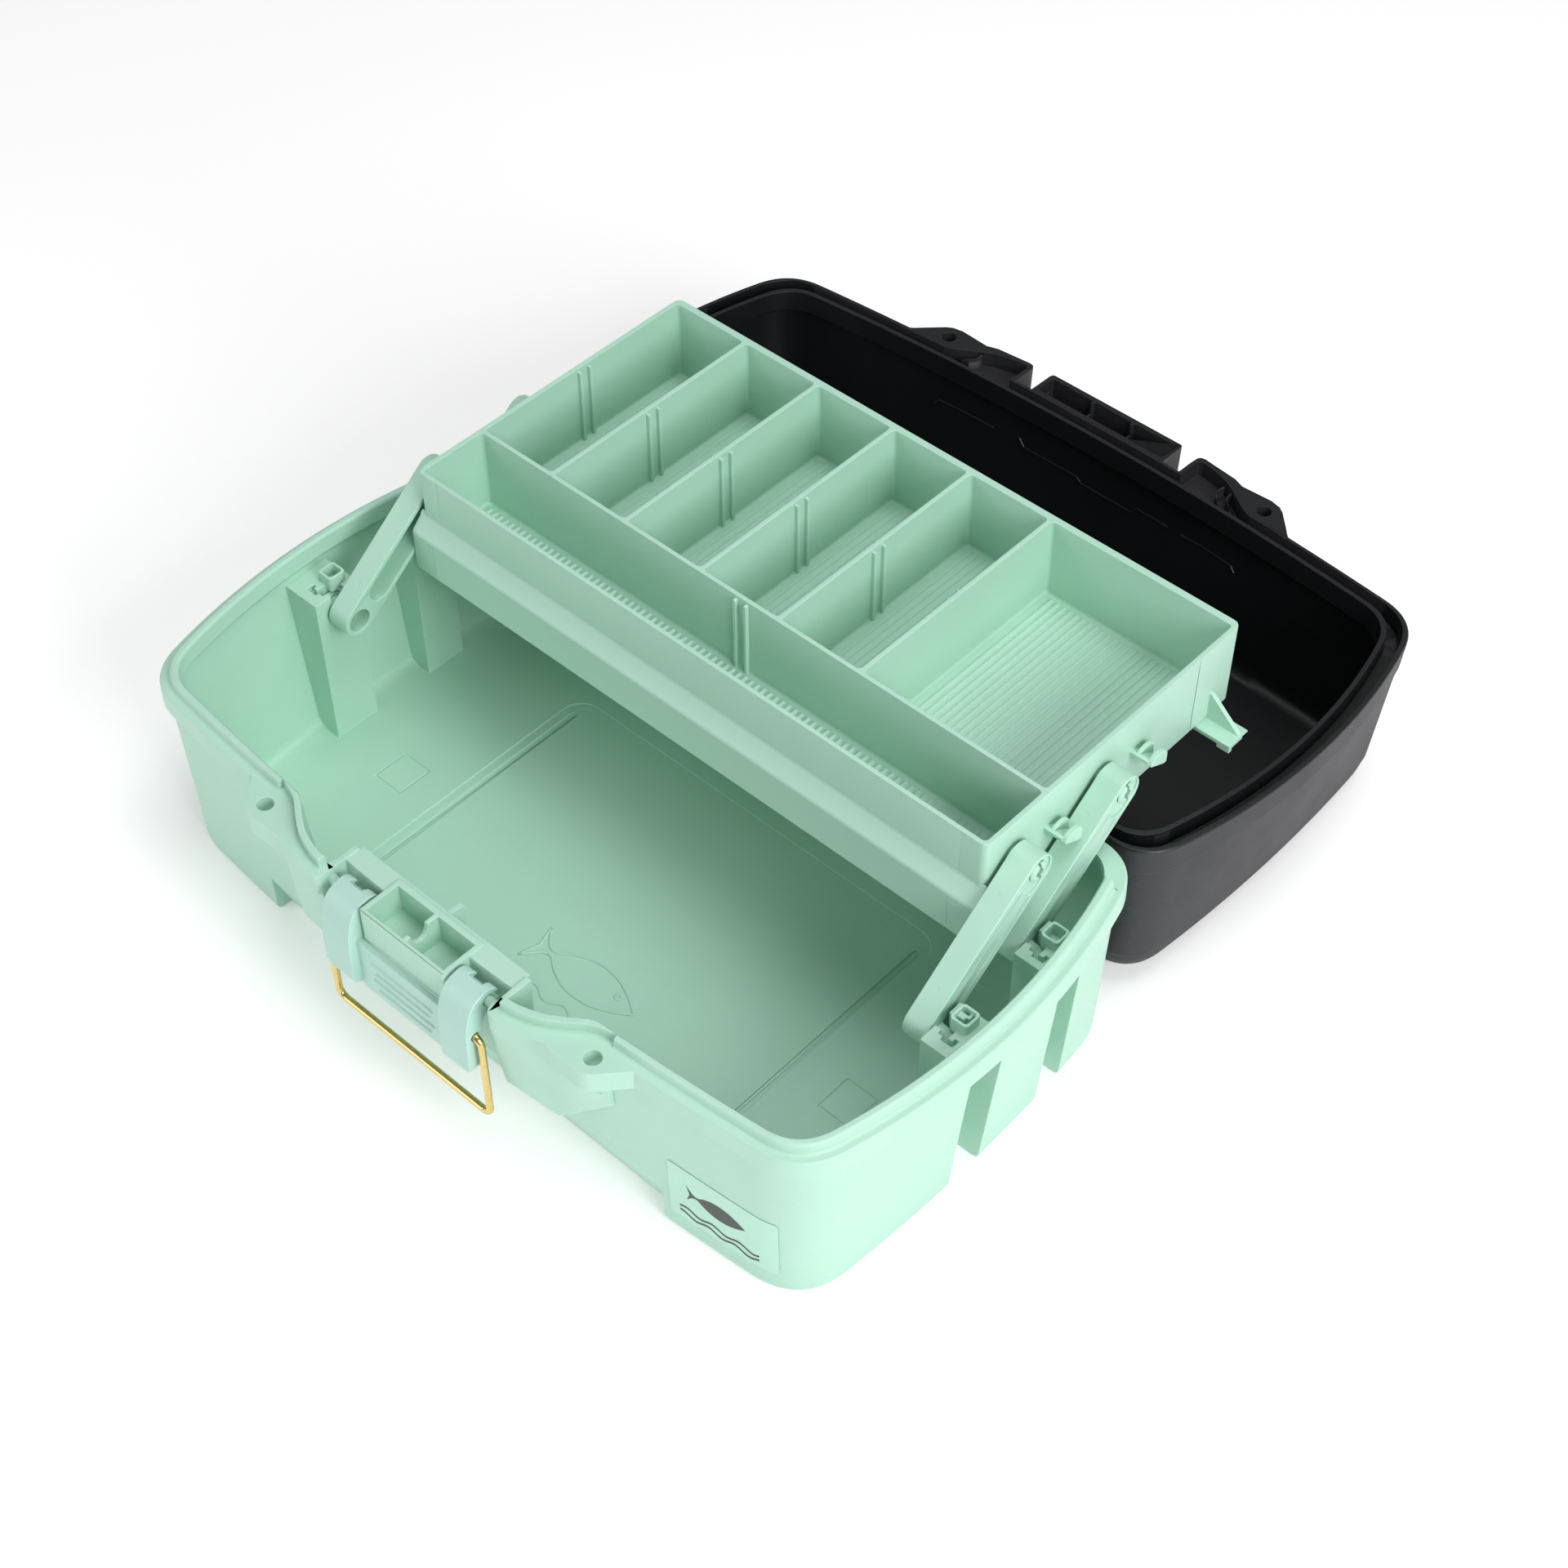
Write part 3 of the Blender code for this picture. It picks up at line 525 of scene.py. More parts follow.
# ------------------------------------------------------------------ tub
EAR = [(98.0, -86.0), (93.0, -91.6), (87.2, -98.0), (84.6, -99.8), (81.5, -100.6), (65.0, -100.0), (59.5, -102.0), (47.0, -104.0),
       (43.2, -103.4), (42.1, -102.0), (42.0, -98.0), (42.0, -84.0), (98.0, -80.0)]
CREST = smooth_line([(88.5, -81.9), (80.5, -84.0), (74.5, -86.2), (67.5, -91.2), (60.5, -95.6), (52.0, -98.6), (45.4, -99.7)], 5) + [(43.4, -99.4), (42.3, -98.4), (42.0, -96.0)]
POCKET = smooth_line([(84.5, -81.2), (79.5, -82.2), (73.2, -84.4), (66.2, -89.4), (59.4, -93.6), (51.4, -96.4), (46.6, -97.2)], 5) + [(45.2, -97.0), (44.5, -96.2), (44.4, -94.0)]
WALL0 = (167.5, 5.2, 79.4, 8.6, 91.6, 21.0)
WALL1 = (174.3, 13.0, 80.6, 9.4, 92.8, 17.0)
IN0 = (164.0, 5.3, 75.8, 8.2, 88.0, 18.0)
IN1 = (171.0, 12.8, 77.2, 9.3, 89.4, 14.5)


def tub_outer():
    rings = [
        ring(0.0, 164.9, 5.0, 77.0, 7.8, 89.2, 19.0),
        ring(0.35, 166.1, 5.05, 78.2, 8.2, 90.4, 20.0),
        ring(1.2, 167.0, 5.1, 79.0, 8.5, 91.2, 20.6),
    ]
    for i in range(6):
        rings.append(blend_ring(3.0 + (SKIRT_Z - 3.0) * i / 5.0, WALL0, WALL1, i / 5.0))
    rings += [
        ring(SKIRT_Z, 176.9, 14.2, 81.3, 9.6, 93.6, 16.0),
        ring(SKIRT_Z + 0.25, 177.5, 14.3, 81.8, 9.6, 94.1, 16.0),
        ring(SKIRT_Z + 0.8, 177.8, 14.3, 82.0, 9.6, 94.3, 16.0),
        ring(RIM_Z - 1.3, 177.6, 14.3, 81.8, 9.6, 94.1, 16.0),
        ring(RIM_Z - 0.4, 177.4, 14.3, 81.5, 9.6, 93.9, 15.9),
        ring(RIM_Z, 176.7, 14.3, 80.9, 9.6, 93.2, 15.6),
        ring(RIM_Z, 174.9, 13.9, 79.2, 9.5, 91.6, 14.8),
        ring(RIM_Z + 0.5, 174.2, 13.8, 78.6, 9.5, 91.0, 14.5),
        ring(TONGUE_Z - 1.5, 173.4, 13.5, 78.3, 9.5, 90.7, 14.2),
        ring(TONGUE_Z - 0.4, 172.9, 13.4, 78.0, 9.5, 90.4, 14.0),
        ring(TONGUE_Z, 172.1, 13.3, 77.3, 9.5, 89.7, 13.7),
    ]
    return loft(rings)


def tub_inner():
    rings = [
        ring(FLOOR_T, 158.0, 4.8, 70.0, 7.4, 82.2, 13.0),
        ring(FLOOR_T + 0.6, 160.8, 5.0, 72.7, 7.7, 84.9, 15.0),
        ring(FLOOR_T + 2.0, 162.8, 5.2, 74.7, 8.0, 86.9, 17.0),
        ring(FLOOR_T + 4.6, 163.9, 5.3, 75.7, 8.2, 87.9, 18.0),
    ]
    for i in range(1, 5):
        rings.append(blend_ring(7.6 + (78.0 - 7.6) * i / 4.0, IN0, IN1, i / 4.0))
    rings += [
        ring(79.6, 169.9, 12.8, 76.1, 9.3, 88.3, 13.6),
        ring(80.4, 169.4, 12.8, 75.6, 9.3, 87.9, 13.1),
        ring(TONGUE_Z - 0.9, 169.8, 13.0, 75.8, 9.4, 88.1, 12.6),
        ring(TONGUE_Z - 0.2, 170.3, 13.0, 76.2, 9.4, 88.5, 12.8),
        ring(TONGUE_Z + 2.0, 172.4, 13.0, 77.9, 9.4, 90.3, 13.6),
    ]
    s = loft(rings)
    cut(s, prism_x([(-73.0, 2.0), (-73.4, 3.0), (-74.6, 4.2), (-85.3, 32.0), (-110.0, 32.0), (-110.0, 2.0)], -105.6, 105.6),
        )
    cut(s, box(-42.0, 42.0, -110.0, -82.5, -1.0, 95.0))
    low = [(x * 0.86 + 6.0, -81.0 + (y + 81.0) * 0.62) for x, y in POCKET]
    pocket = loft([[(x, y, 42.0) for x, y in low] + [(45.6, -76.0, 42.0), (78.0, -76.0, 42.0)],
                   [(x, y, 91.0) for x, y in POCKET] + [(44.4, -76.0, 91.0), (84.5, -76.0, 91.0)]])
    add(s, *both(pocket))
    return s


def build_tub():
    s = tub_outer()
    cut(s, box(-84.0, 84.0, -120.0, -72.0, RIM_Z, 95.0))
    cut(s, box(-42.0, 42.0, -120.0, -72.0, DECK_Z + 0.9, 95.0))
    cut(s, box(-190.0, 190.0, 79.0, 120.0, RIM_Z - 0.05, 95.0))
    add(s, *both(prism_z(CREST + [(42.0, -74.0), (88.5, -74.0)], RIM_Z - 4.0, TONGUE_Z)))
    cut(s, box(-45.4, 45.4, -120.0, -82.0, RIM_Z, 95.0))
    add(s, *both(prism_z(EAR, SKIRT_Z, RIM_Z)))
    lobe = hull([(42, -102.4, 76.0), (47, -103.2, 76.0), (64, -99.6, 76.0), (84, -89.2, 76.0),
                 (42, -100.6, 54.0), (64, -99.0, 54.0), (84, -88.6, 54.0),
                 (42, -98.4, 39.0), (66, -96.6, 39.0), (42, -93.6, 29.6), (50, -93.0, 29.6),
                 (42, -84.0, 76.0), (84, -84.0, 76.0), (84, -84.0, 50.0), (66, -84.0, 35.0), (42, -84.0, 29.0), (50, -84.0, 29.0)])
    add(s, *both(lobe))
    scoop = [(-77.6, -1.0), (-82.6, 13.0), (-86.6, 24.6), (-88.2, 28.2), (-90.4, 29.4), (-94.0, 29.6), (-120.0, 29.4), (-120.0, -1.0)]
    cut(s, prism_x(scoop, -103.0, 103.0))
    cut(s, tub_inner())
    # latch housing
    add(s, prism_z(rrect(-21.3, 21.3, -103.0, -84.0, 1.0, 3), 68.6, RIM_Z - 0.02))
    cut(s, box(-19.4, -0.9, -101.2, -86.6, 71.0, 90.0), box(0.9, 19.4, -101.2, -86.6, 71.0, 90.0))
    notch = smooth_line([(-100.0, 90.0), (-98.9, 83.0), (-97.6, 79.8), (-94.6, 78.6), (-92.4, 80.4), (-91.4, 84.0), (-90.6, 90.0)], 4)
    cut(s, prism_x(notch, -2.0, 2.0))
    add(s, prism_x([(-84.0, 58.0), (-84.0, 82.9), (-76.4, 81.7), (-75.2, 80.8), (-75.2, 76.0), (-80.0, 58.0)], 0.4, 2.6))
    add(s, *both(cyl_x(LEVER_Y, LEVER_Z, 1.9, 20.6, 43.4, 24)))
    cut(s, *both(cyl_z(82.3, -93.0, 3.15, 60.0, 95.0)))
    # end posts
    posts, lips, chan, slots = [], [], [], []
    for (p0, p1), py in zip(POSTS_Y, PIVOT_Y):
        low, high = ((165.2, 165.2), (171.4, 171.4)) if py < 20.0 else ((164.6, 163.4), (170.4, 167.3))
        posts += both(hull([(POST_X, p0, 1.0), (POST_X, p1, 1.0), (POST_X, p0, POST_TOP_Z), (POST_X, p1, POST_TOP_Z),
                            (low[0], p0, 1.0), (low[1], p1, 1.0), (high[0], p0, POST_TOP_Z), (high[1], p1, POST_TOP_Z)]))
        lips += both(prism_z(rrect(155.6, 163.4, py - 0.6, py + 7.4, 1.6, 4), 73.6, 80.6))
        chan += both(box(155.3, 190.0, p0 + 2.43, p1 - 2.43, -1.0, 71.07))
    add(s, *posts)
    cut(s, *chan)
    for py in PIVOT_Y:
        for w, x0, x1 in ((3.5, 151.0, 155.6), (5.4, 155.3, 159.2)):
            arc = [(py + w * math.cos(math.radians(180 + 180 * i / 20)), PIVOT_Z + w * math.sin(math.radians(180 + 180 * i / 20))) for i in range(21)]
            slots = both(prism_x(arc + [(py + w, 82.0), (py - w, 82.0)], x0, x1))
            cut(s, *slots)
    # retainers that keep the pegs down, hollow from above
    for o in lips:
        add(s, o)
    wells = []
    for py in PIVOT_Y:
        wells += both(prism_z(rrect(156.7, 162.3, py + 0.5, py + 6.3, 0.9, 3), 75.2, 84.0))
    for o in wells:
        cut(s, o)
    steps = []
    for py in PIVOT_Y:
        steps += both(prism_z([(156.5, py + 2.6), (159.4, py + 2.6), (159.4, py + 4.1), (160.9, py + 4.1), (160.9, py + 6.5), (159.6, py + 6.5), (159.6, py + 5.2), (156.5, py + 5.2)], 75.0, 78.8))
    for o in steps:
        add(s, o)
    # sink pockets in the post tops
    tops = []
    for (p0, p1), py in zip(POSTS_Y, PIVOT_Y):
        tops += both(prism_z([(157.6, py - 7.0), (162.8, py - 7.0), (162.8, py - 3.4), (161.2, py - 3.4), (161.2, py - 5.0), (157.6, py - 5.0)], 73.0, 82.0))
    cut(s, *tops)
    # hinge knuckles
    cut(s, *[box(g * HINGE_X - 16.4, g * HINGE_X + 16.4, HINGE_Y - KNUCKLE_R - 1.2, 120.0, HINGE_Z - KNUCKLE_R - 0.6, 90.0) for g in (-1, 1)])
    add(s, *[box(g * HINGE_X - 7.93, g * HINGE_X + 7.93, 90.27, 95.63, 76.0, 83.63) for g in (-1, 1)])
    add(s, *[cyl_x(HINGE_Y, HINGE_Z, KNUCKLE_R - 0.02, g * HINGE_X - 8.01, g * HINGE_X + 8.01, 30) for g in (-1, 1)])
    cut(s, *[cyl_x(HINGE_Y, HINGE_Z, PIN_R + 0.3, g * HINGE_X - 20.0, g * HINGE_X + 20.0, 20) for g in (-1, 1)])
    # relief of the floor: sunk middle, two cross grooves, two framed fields at the ends
    cut(s, prism_z(rrect(-97.0, 97.0, -64.0, 72.0, 10.0, 6), 2.35, 6.0))
    grooves = []
    for g in (-1, 1):
        grooves.append(prism_z(rrect(g * 92.0 - 1.5, g * 92.0 + 1.5, -58.0, 64.0, 1.4, 3), 1.5, 6.0))
    cut(s, *grooves)
    frames = []
    for g in (-1, 1):
        cx, cy, hx, hy = g * 119.0, -6.5, 7.6, 8.4
        frames += [box(cx - hx, cx - hx + 0.9, cy - hy, cy + hy, 2.4, 6.0), box(cx + hx - 0.9, cx + hx, cy - hy, cy + hy, 2.4, 6.0),
                   box(cx - hx + 0.9, cx + hx - 0.9, cy - hy, cy - hy + 0.9, 2.4, 6.0), box(cx - hx + 0.9, cx + hx - 0.9, cy + hy - 0.9, cy + hy, 2.4, 6.0)]
    cut(s, *frames)
    return s


def tub_outside(c, nrm):
    """1 for the grained outside, 0 for the satin inside and rim"""
    x, y, z = c
    if z > SKIRT_Z - 0.2:
        if z > RIM_Z - 0.7:
            return 0
        ring_y = -90.8 if abs(x) < 42 else -86.0
        return 1 if (abs(x) > 172.5 or y > 93.4 or (y < ring_y and nrm.z < 0.5)) else 0
    t = max(0.0, min(1.0, z / SKIRT_Z))
    a, b, wf, fb, wr = [u + (v - u) * t for u, v in zip(WALL0[:5], WALL1[:5])]
    yc, h, half = (wr - wf) / 2.0, (wr + wf) / 2.0, a - b
    end = a - b * ((y - yc) / h) ** 2
    front = -(wf + fb * (1.0 - min(1.0, (x / half) ** 2)))
    if z < 1.3 or y > wr - 0.9 or abs(x) > end - 0.9 or y < front + 0.9:
        return 1
    if z < 30 and abs(x) < 103.2 and nrm.y < -0.5 and nrm.z < 0.2 and y < -76:
        return 1
    r2 = math.hypot(abs(x) - (half - 18.0), (y - (wr - 18.0)) if y > 0 else (y + wf - 18.0))
    if abs(x) > half - 18.0 and (y > wr - 18.0 or y < -wf + 18.0) and r2 > 14.0 and (nrm.x * x + nrm.y * y) > 0:
        return 1
    return 0


finish(build_tub(), "tub_shell", [mint_satin, mint_stipple], "base", ("base_tub",), bevel=0.4, pick=tub_outside)


# raised mark moulded in the tub's floor: a plain fish outline and two wave lines
def tube(path, r, sides=10, closed=False, flat=1.0):
    n = len(path)
    rings = []
    for i in range(n):
        p = Vector(path[i])
        a = Vector(path[(i - 1) % n] if closed or i else path[i])
        b = Vector(path[(i + 1) % n] if closed or i < n - 1 else path[i])
        d = (b - a).normalized()
        up = Vector((0, 0, 1))
        if abs(d.z) > 0.9:
            up = Vector((0, 1, 0))
        side = d.cross(up).normalized()
        up = side.cross(d).normalized()
        rings.append([tuple(p + side * (r * math.cos(2 * math.pi * k / sides)) + up * (r * flat * math.sin(2 * math.pi * k / sides))) for k in range(sides)])
    return loft(rings, closed=closed, tri=False)


def fish_outline(cx, cy, s, n=40):
    """fish seen from the side, in its own plane, nose to +u"""
    up = [(-1.0, 0.34), (-0.80, 0.10), (-0.62, 0.05), (-0.40, 0.20), (-0.05, 0.33), (0.35, 0.32), (0.72, 0.18), (1.0, 0.0)]
    curve = smooth_line(up, 5)
    low = [(u, -v) for u, v in reversed(curve[:-1])]
    pts = curve + low
    tail = [(-0.90, 0.0)]
    return [(cx + s * u, cy + s * v) for u, v in pts + tail]


mark = []
ang = math.radians(0.0)
fo = fish_outline(8.0, -30.0, 26.0)
mark.append(tube([(x, y, 2.45) for x, y in fo], 0.55, 8, closed=True))
for k in range(2):
    mark.append(tube([(-22.0 + 60.0 * i / 40.0, -46.0 - 7.0 * k + 1.6 * math.sin(i * 0.62), 2.45) for i in range(41)], 0.5, 8))
mark.append(tube([(24.0 + 1.2 * math.cos(a * math.pi / 6), -28.0 + 1.2 * math.sin(a * math.pi / 6), 2.45) for a in range(12)], 0.45, 8, closed=True))
finish(merged(mark), "floor_mark", [mint_satin], "base", bevel=0)

for _side, _sgn in (("right", 1), ("left", -1)):
    finish(cyl_x(HINGE_Y, HINGE_Z, PIN_R, _sgn * HINGE_X - 16.0, _sgn * HINGE_X + 16.0, 24), "hinge_pin_wire_" + _side, [steel], "base",
           ("hinge_pin_" + _side,), bevel=0.25)


# ------------------------------------------------------------------ sticker on the front wall
def wall_y(x, z, off):
    t = (z - 3.0) / (SKIRT_Z - 3.0)
    a, b, wf, fb, wr, r = [u + (v - u) * t for u, v in zip(WALL0, WALL1)]
    pts = [(px, py) for px, py in plan(a + off, b, wf + off, fb, wr + off, r) if py < -30 and px > 60]
    pts.sort()
    for (x0, y0), (x1, y1) in zip(pts[:-1], pts[1:]):
        if x0 <= x <= x1 and x1 > x0:
            return y0 + (y1 - y0) * (x - x0) / (x1 - x0)
    return pts[0][1] if x < pts[0][0] else pts[-1][1]


def on_wall(outline, off, thick, name, mats, replace=(), step=2.0):
    """thin plate with the given outline in (x, z), laid on the front wall"""
    bm = bmesh.new()
    vs = [bm.verts.new((x, 0.0, z)) for x, z in outline]
    bm.faces.new(vs)
    xs = [p[0] for p in outline]
    x = min(xs) + step
    while x < max(xs):
        bmesh.ops.bisect_plane(bm, geom=bm.verts[:] + bm.edges[:] + bm.faces[:], plane_co=(x, 0, 0), plane_no=(1, 0, 0))
        x += step
    zs = [p[1] for p in outline]
    z = min(zs) + 4.0
    while z < max(zs):
        bmesh.ops.bisect_plane(bm, geom=bm.verts[:] + bm.edges[:] + bm.faces[:], plane_co=(0, 0, z), plane_no=(0, 0, 1))
        z += 4.0
    res = bmesh.ops.extrude_face_region(bm, geom=bm.faces[:])
    top = [g for g in res["geom"] if isinstance(g, bmesh.types.BMVert)]
    tops = set(top)
    for v in bm.verts:
        v.co.y = wall_y(v.co.x, v.co.z, off + (thick if v in tops else 0.0))
    bmesh.ops.recalc_face_normals(bm, faces=bm.faces)
    me = bpy.data.meshes.new(name)
    bm.to_mesh(me)
    bm.free()
    ob = bpy.data.objects.new(name, me)
    bpy.context.scene.collection.objects.link(ob)
    return finish(ob, name, mats, "base", replace, bevel=0)


film = plastic("sticker_film", srgb(176, 221, 201), srgb(172, 218, 197), srgb(200, 234, 220), 0.24, 0.04, 500.0, 0.000015, spec=0.6, edge_highlight=0.0)
ink = plastic("sticker_ink", srgb(24, 25, 27), srgb(20, 21, 23), srgb(40, 40, 44), 0.30, 0.05, 700.0, 0.00001, edge_highlight=0.0)
on_wall(rrect(106.5, 152.0, 10.6, 41.4, 1.6, 4), 0.12, 0.14, "sticker", [film], ("front_label",))
on_wall(fish_outline(127.0, 28.5, 12.5), 0.28, 0.05, "sticker_fish", [ink], step=1.5)
for k, zz in enumerate((17.6, 14.4)):
    up = [(111.0 + 34.0 * i / 34.0, zz + 0.55 + 0.9 * math.sin(i * 0.55 + k)) for i in range(35)]
    dn = [(x, z - 1.1) for x, z in reversed(up)]
    on_wall(up + dn, 0.28, 0.05, "sticker_wave_%d" % (k + 1), [ink], step=1.5)


# ------------------------------------------------------------------ lid (built closed, turned open)
LID_EAR = [(98.8, -86.0), (94.8, -90.6), (88.0, -97.8), (85.4, -99.6), (80.7, -100.6), (66.9, -99.8), (62.1, -101.6), (46.0, -103.4),
           (44.0, -103.0), (43.0, -101.6), (42.8, -99.0), (42.8, -84.0), (98.8, -80.0)]
OPEN = rot_x(-LID_SWING, HINGE_Y, HINGE_Z)


def build_lid():
    z0 = RIM_Z + 0.4
    p97, p148 = (175.4, 13.2, 79.7, 9.4, 92.1, 15.5), (167.5, 5.0, 76.5, 7.0, 89.0, 17.0)
    rings = [
        ring(z0, 176.0, 13.8, 80.2, 9.6, 92.6, 15.3),
        ring(z0 + 0.3, 176.5, 13.8, 80.7, 9.6, 93.1, 15.5),
        ring(z0 + 1.0, 176.7, 13.8, 80.9, 9.6, 93.3, 15.5),
        ring(96.2, 176.2, 13.6, 80.4, 9.5, 92.8, 15.5),
        ring(96.8, 175.9, 13.5, 80.1, 9.45, 92.5, 15.5),
        ring(97.1, 175.4, 13.2, 79.7, 9.4, 92.1, 15.5),
    ]
    for i in range(1, 5):
        rings.append(blend_ring(97.1 + (146.0 - 97.1) * i / 4.0, p97, p148, i / 4.0))
    rings += [
        ring(146.6, 167.0, 5.0, 76.1, 7.0, 88.6, 17.0),
        ring(149.5, 166.6, 4.8, 75.7, 6.9, 88.2, 17.0),
        ring(152.0, 165.9, 4.5, 75.1, 6.7, 87.6, 17.0),
        ring(154.2, 164.6, 4.2, 74.0, 6.4, 86.4, 17.0),
        ring(155.8, 162.8, 4.0, 72.6, 6.1, 84.8, 17.0),
        ring(156.7, 160.8, 3.8, 71.0, 5.9, 83.0, 16.5),
        ring(LID_TOP_Z, 158.4, 3.6, 69.4, 5.8, 81.2, 16.0),
    ]
    s = loft(rings)
    add(s, *both(prism_z(LID_EAR, z0, 97.0)))
    add(s, prism_z(rrect(-34.2, 34.2, -104.0, -84.0, 1.6, 3), z0, 105.6))
    cut(s, loft([
        ring(z0 - 2.0, 167.4, 12.6, 73.4, 9.2, 85.8, 13.2),
        ring(z0 + 0.6, 167.0, 12.6, 73.0, 9.2, 85.4, 13.0),
        ring(94.0, 166.8, 12.6, 72.8, 9.2, 85.2, 13.0),
        ring(97.5, 172.3, 13.0, 76.8, 9.2, 89.2, 14.5),
        ring(123.0, 168.5, 9.0, 75.3, 8.0, 87.8, 15.3),
        ring(147.0, 164.9, 5.0, 73.9, 6.8, 86.4, 16.0),
        ring(151.0, 163.4, 4.6, 72.6, 6.5, 85.1, 15.4),
        ring(153.4, 161.0, 4.3, 70.6, 6.2, 83.0, 14.6),
        ring(154.4, 157.4, 4.0, 67.8, 5.8, 80.2, 13.6),
    ]))
    cut(s, loft([
        ring(z0 - 2.0, 175.0, 13.8, 79.4, 9.5, 91.8, 14.7),
        ring(z0 + 0.5, 174.6, 13.8, 79.0, 9.5, 91.4, 14.6),
        ring(91.4, 174.0, 13.8, 78.6, 9.5, 91.0, 14.6),
        ring(91.4, 169.3, 13.0, 75.2, 9.3, 87.6, 13.0),
        ring(z0 + 0.5, 169.0, 13.0, 75.0, 9.3, 87.4, 13.0),
        ring(z0 - 2.0, 168.6, 13.0, 74.6, 9.3, 87.0, 12.9),
    ], closed=True))
    front = smooth_line([(90.0, -82.0), (81.4, -85.4), (75.4, -88.0), (68.4, -92.6), (61.2, -97.0), (52.4, -99.8), (46.6, -100.7)], 5)
    cut(s, *both(prism_z(front + [(45.2, -100.2), (44.9, -99.0), (44.9, -86.6), (60.0, -84.6), (84.0, -82.0)], z0 - 2.0, 91.4)))
    # catch box, open below, with two ribs in it
    cut(s, box(-31.6, -10.9, -101.6, -91.6, z0 - 2.0, 103.0), box(-9.7, 9.7, -101.6, -91.6, z0 - 2.0, 103.0), box(10.9, 31.6, -101.6, -91.6, z0 - 2.0, 103.0))
    cut(s, box(-32.0, 32.0, -99.6, -91.6, z0 - 2.0, 90.0))
    # tube bosses for a padlock, standing in the hollow ears with curved ribs
    add(s, *both(cyl_z(82.3, -93.0, 4.8, z0 - 0.0, 97.0)))
    ribs = []
    for r in (17.0, 22.0, 27.0):
        path = [(82.3 - r * math.cos(math.radians(t)), -93.0 + r * math.sin(math.radians(t)) * 0.55) for t in range(-22, 50, 8)]
        path = [(x, y) for x, y in path if -97.0 < y < -84.0 and x > 46.5]
        if len(path) > 2:
            outer = [(x - 0.45, y - 0.45) for x, y in path]
            inner = [(x + 0.45, y + 0.45) for x, y in reversed(path)]
            ribs.append(prism_z(outer + inner, z0 + 1.6, 93.0))
    rb = [o for r_ in ribs for o in both(r_)]
    for o in rb:
        add(s, o)
    cut(s, *both(cyl_z(82.3, -93.0, 3.0, z0 - 2.0, 99.0)))
    # recess of the carrying handle
    add(s, prism_z(rrect(-79.0, 79.0, -25.0, 22.0, 6.0, 4), 140.6, 155.0))
    cut(s, prism_z(rrect(-75.5, 75.5, -22.4, 19.4, 4.0, 4), 143.2, 160.0))
    cut(s, cyl_x(HANDLE_Y, HANDLE_Z, 2.9, -77.8, 77.8, 24))
    # hinge knuckles
    cut(s, *[box(g * HINGE_X - 8.4, g * HINGE_X + 8.4, HINGE_Y - KNUCKLE_R - 0.6, 110.0, 80.0, HINGE_Z + KNUCKLE_R + 0.6) for g in (-1, 1)])
    kn, webs = [], []
    for g in (-1, 1):
        x = g * HINGE_X
        for x0, x1 in ((x - 16.0, x - 8.4), (x + 8.4, x + 16.0)):
            kn.append(cyl_x(HINGE_Y, HINGE_Z, KNUCKLE_R, x0, x1, 32))
            webs.append(prism_x([(92.4, 84.8), (94.2, 82.6), (97.5, 83.0), (95.2, 88.4), (92.4, 90.5)], x0 + 0.05, x1 - 0.05))
    add(s, *kn)
    add(s, *webs)
    cut(s, *[cyl_x(HINGE_Y, HINGE_Z, PIN_R + 0.3, g * HINGE_X - 20.0, g * HINGE_X + 20.0, 20) for g in (-1, 1)])
    return s


# 0 picks the outside charcoal, 1 the inside faces, which get the darker charcoal with painted shade
def lid_outside(c, nrm):
    p = OPEN.inverted() @ Vector(c)
    m = OPEN.inverted().to_3x3() @ Vector(nrm)
    x, y, z = p
    if z < 85.2:
        return 1
    if z > 156.0 or (z > 140.0 and m.z > 0.3 and z > 143.0):
        return 0
    t = max(0.0, min(1.0, (z - 97.0) / (148.0 - 97.0)))
    a, b, wf, fb, wr, r = [u + (v - u) * t for u, v in zip((175.4, 13.2, 79.7, 9.4, 92.1, 15.5), (167.5, 5.0, 76.5, 7.0, 89.0, 17.0))]
    radial = Vector((m.x, m.y)).dot(Vector((x / a, (y - 6.0) / 88.0)))
    if z > 148.0:
        return 0 if (m.z > 0.05 or radial > 0.3) else 1
    yc, h, half = (wr - wf) / 2.0, (wr + wf) / 2.0, a - b
    end = a - b * ((y - yc) / h) ** 2
    front = -(wf + fb * (1.0 - min(1.0, (x / half) ** 2)))
    if y > wr - 1.2 or abs(x) > end - 1.2 or y < front + 1.2:
        return 0
    r2 = math.hypot(abs(x) - (half - 17.0), (y - (wr - 17.0)) if y > 0 else (y + wf - 17.0))
    if abs(x) > half - 17.0 and (y > wr - 17.0 or y < -wf + 17.0) and r2 > 13.4 and radial > 0:
        return 0
    return 1


lid = build_lid()
move(lid, OPEN)
finish(lid, "lid_moulding", [coal_out, coal_in_painted_shade], "lid", ("lid_shell",), bevel=0.4, pick=lid_outside)


# raised outlines on the inside of the lid's front wall
def lid_wall_y(x, z):
    t = (z - 97.5) / (147.0 - 97.5)
    wf, fb, half = 76.8 - 2.9 * t, 9.2 - 2.4 * t, 159.3
    return -(wf + fb * (1.0 - min(1.0, (x / half) ** 2)))


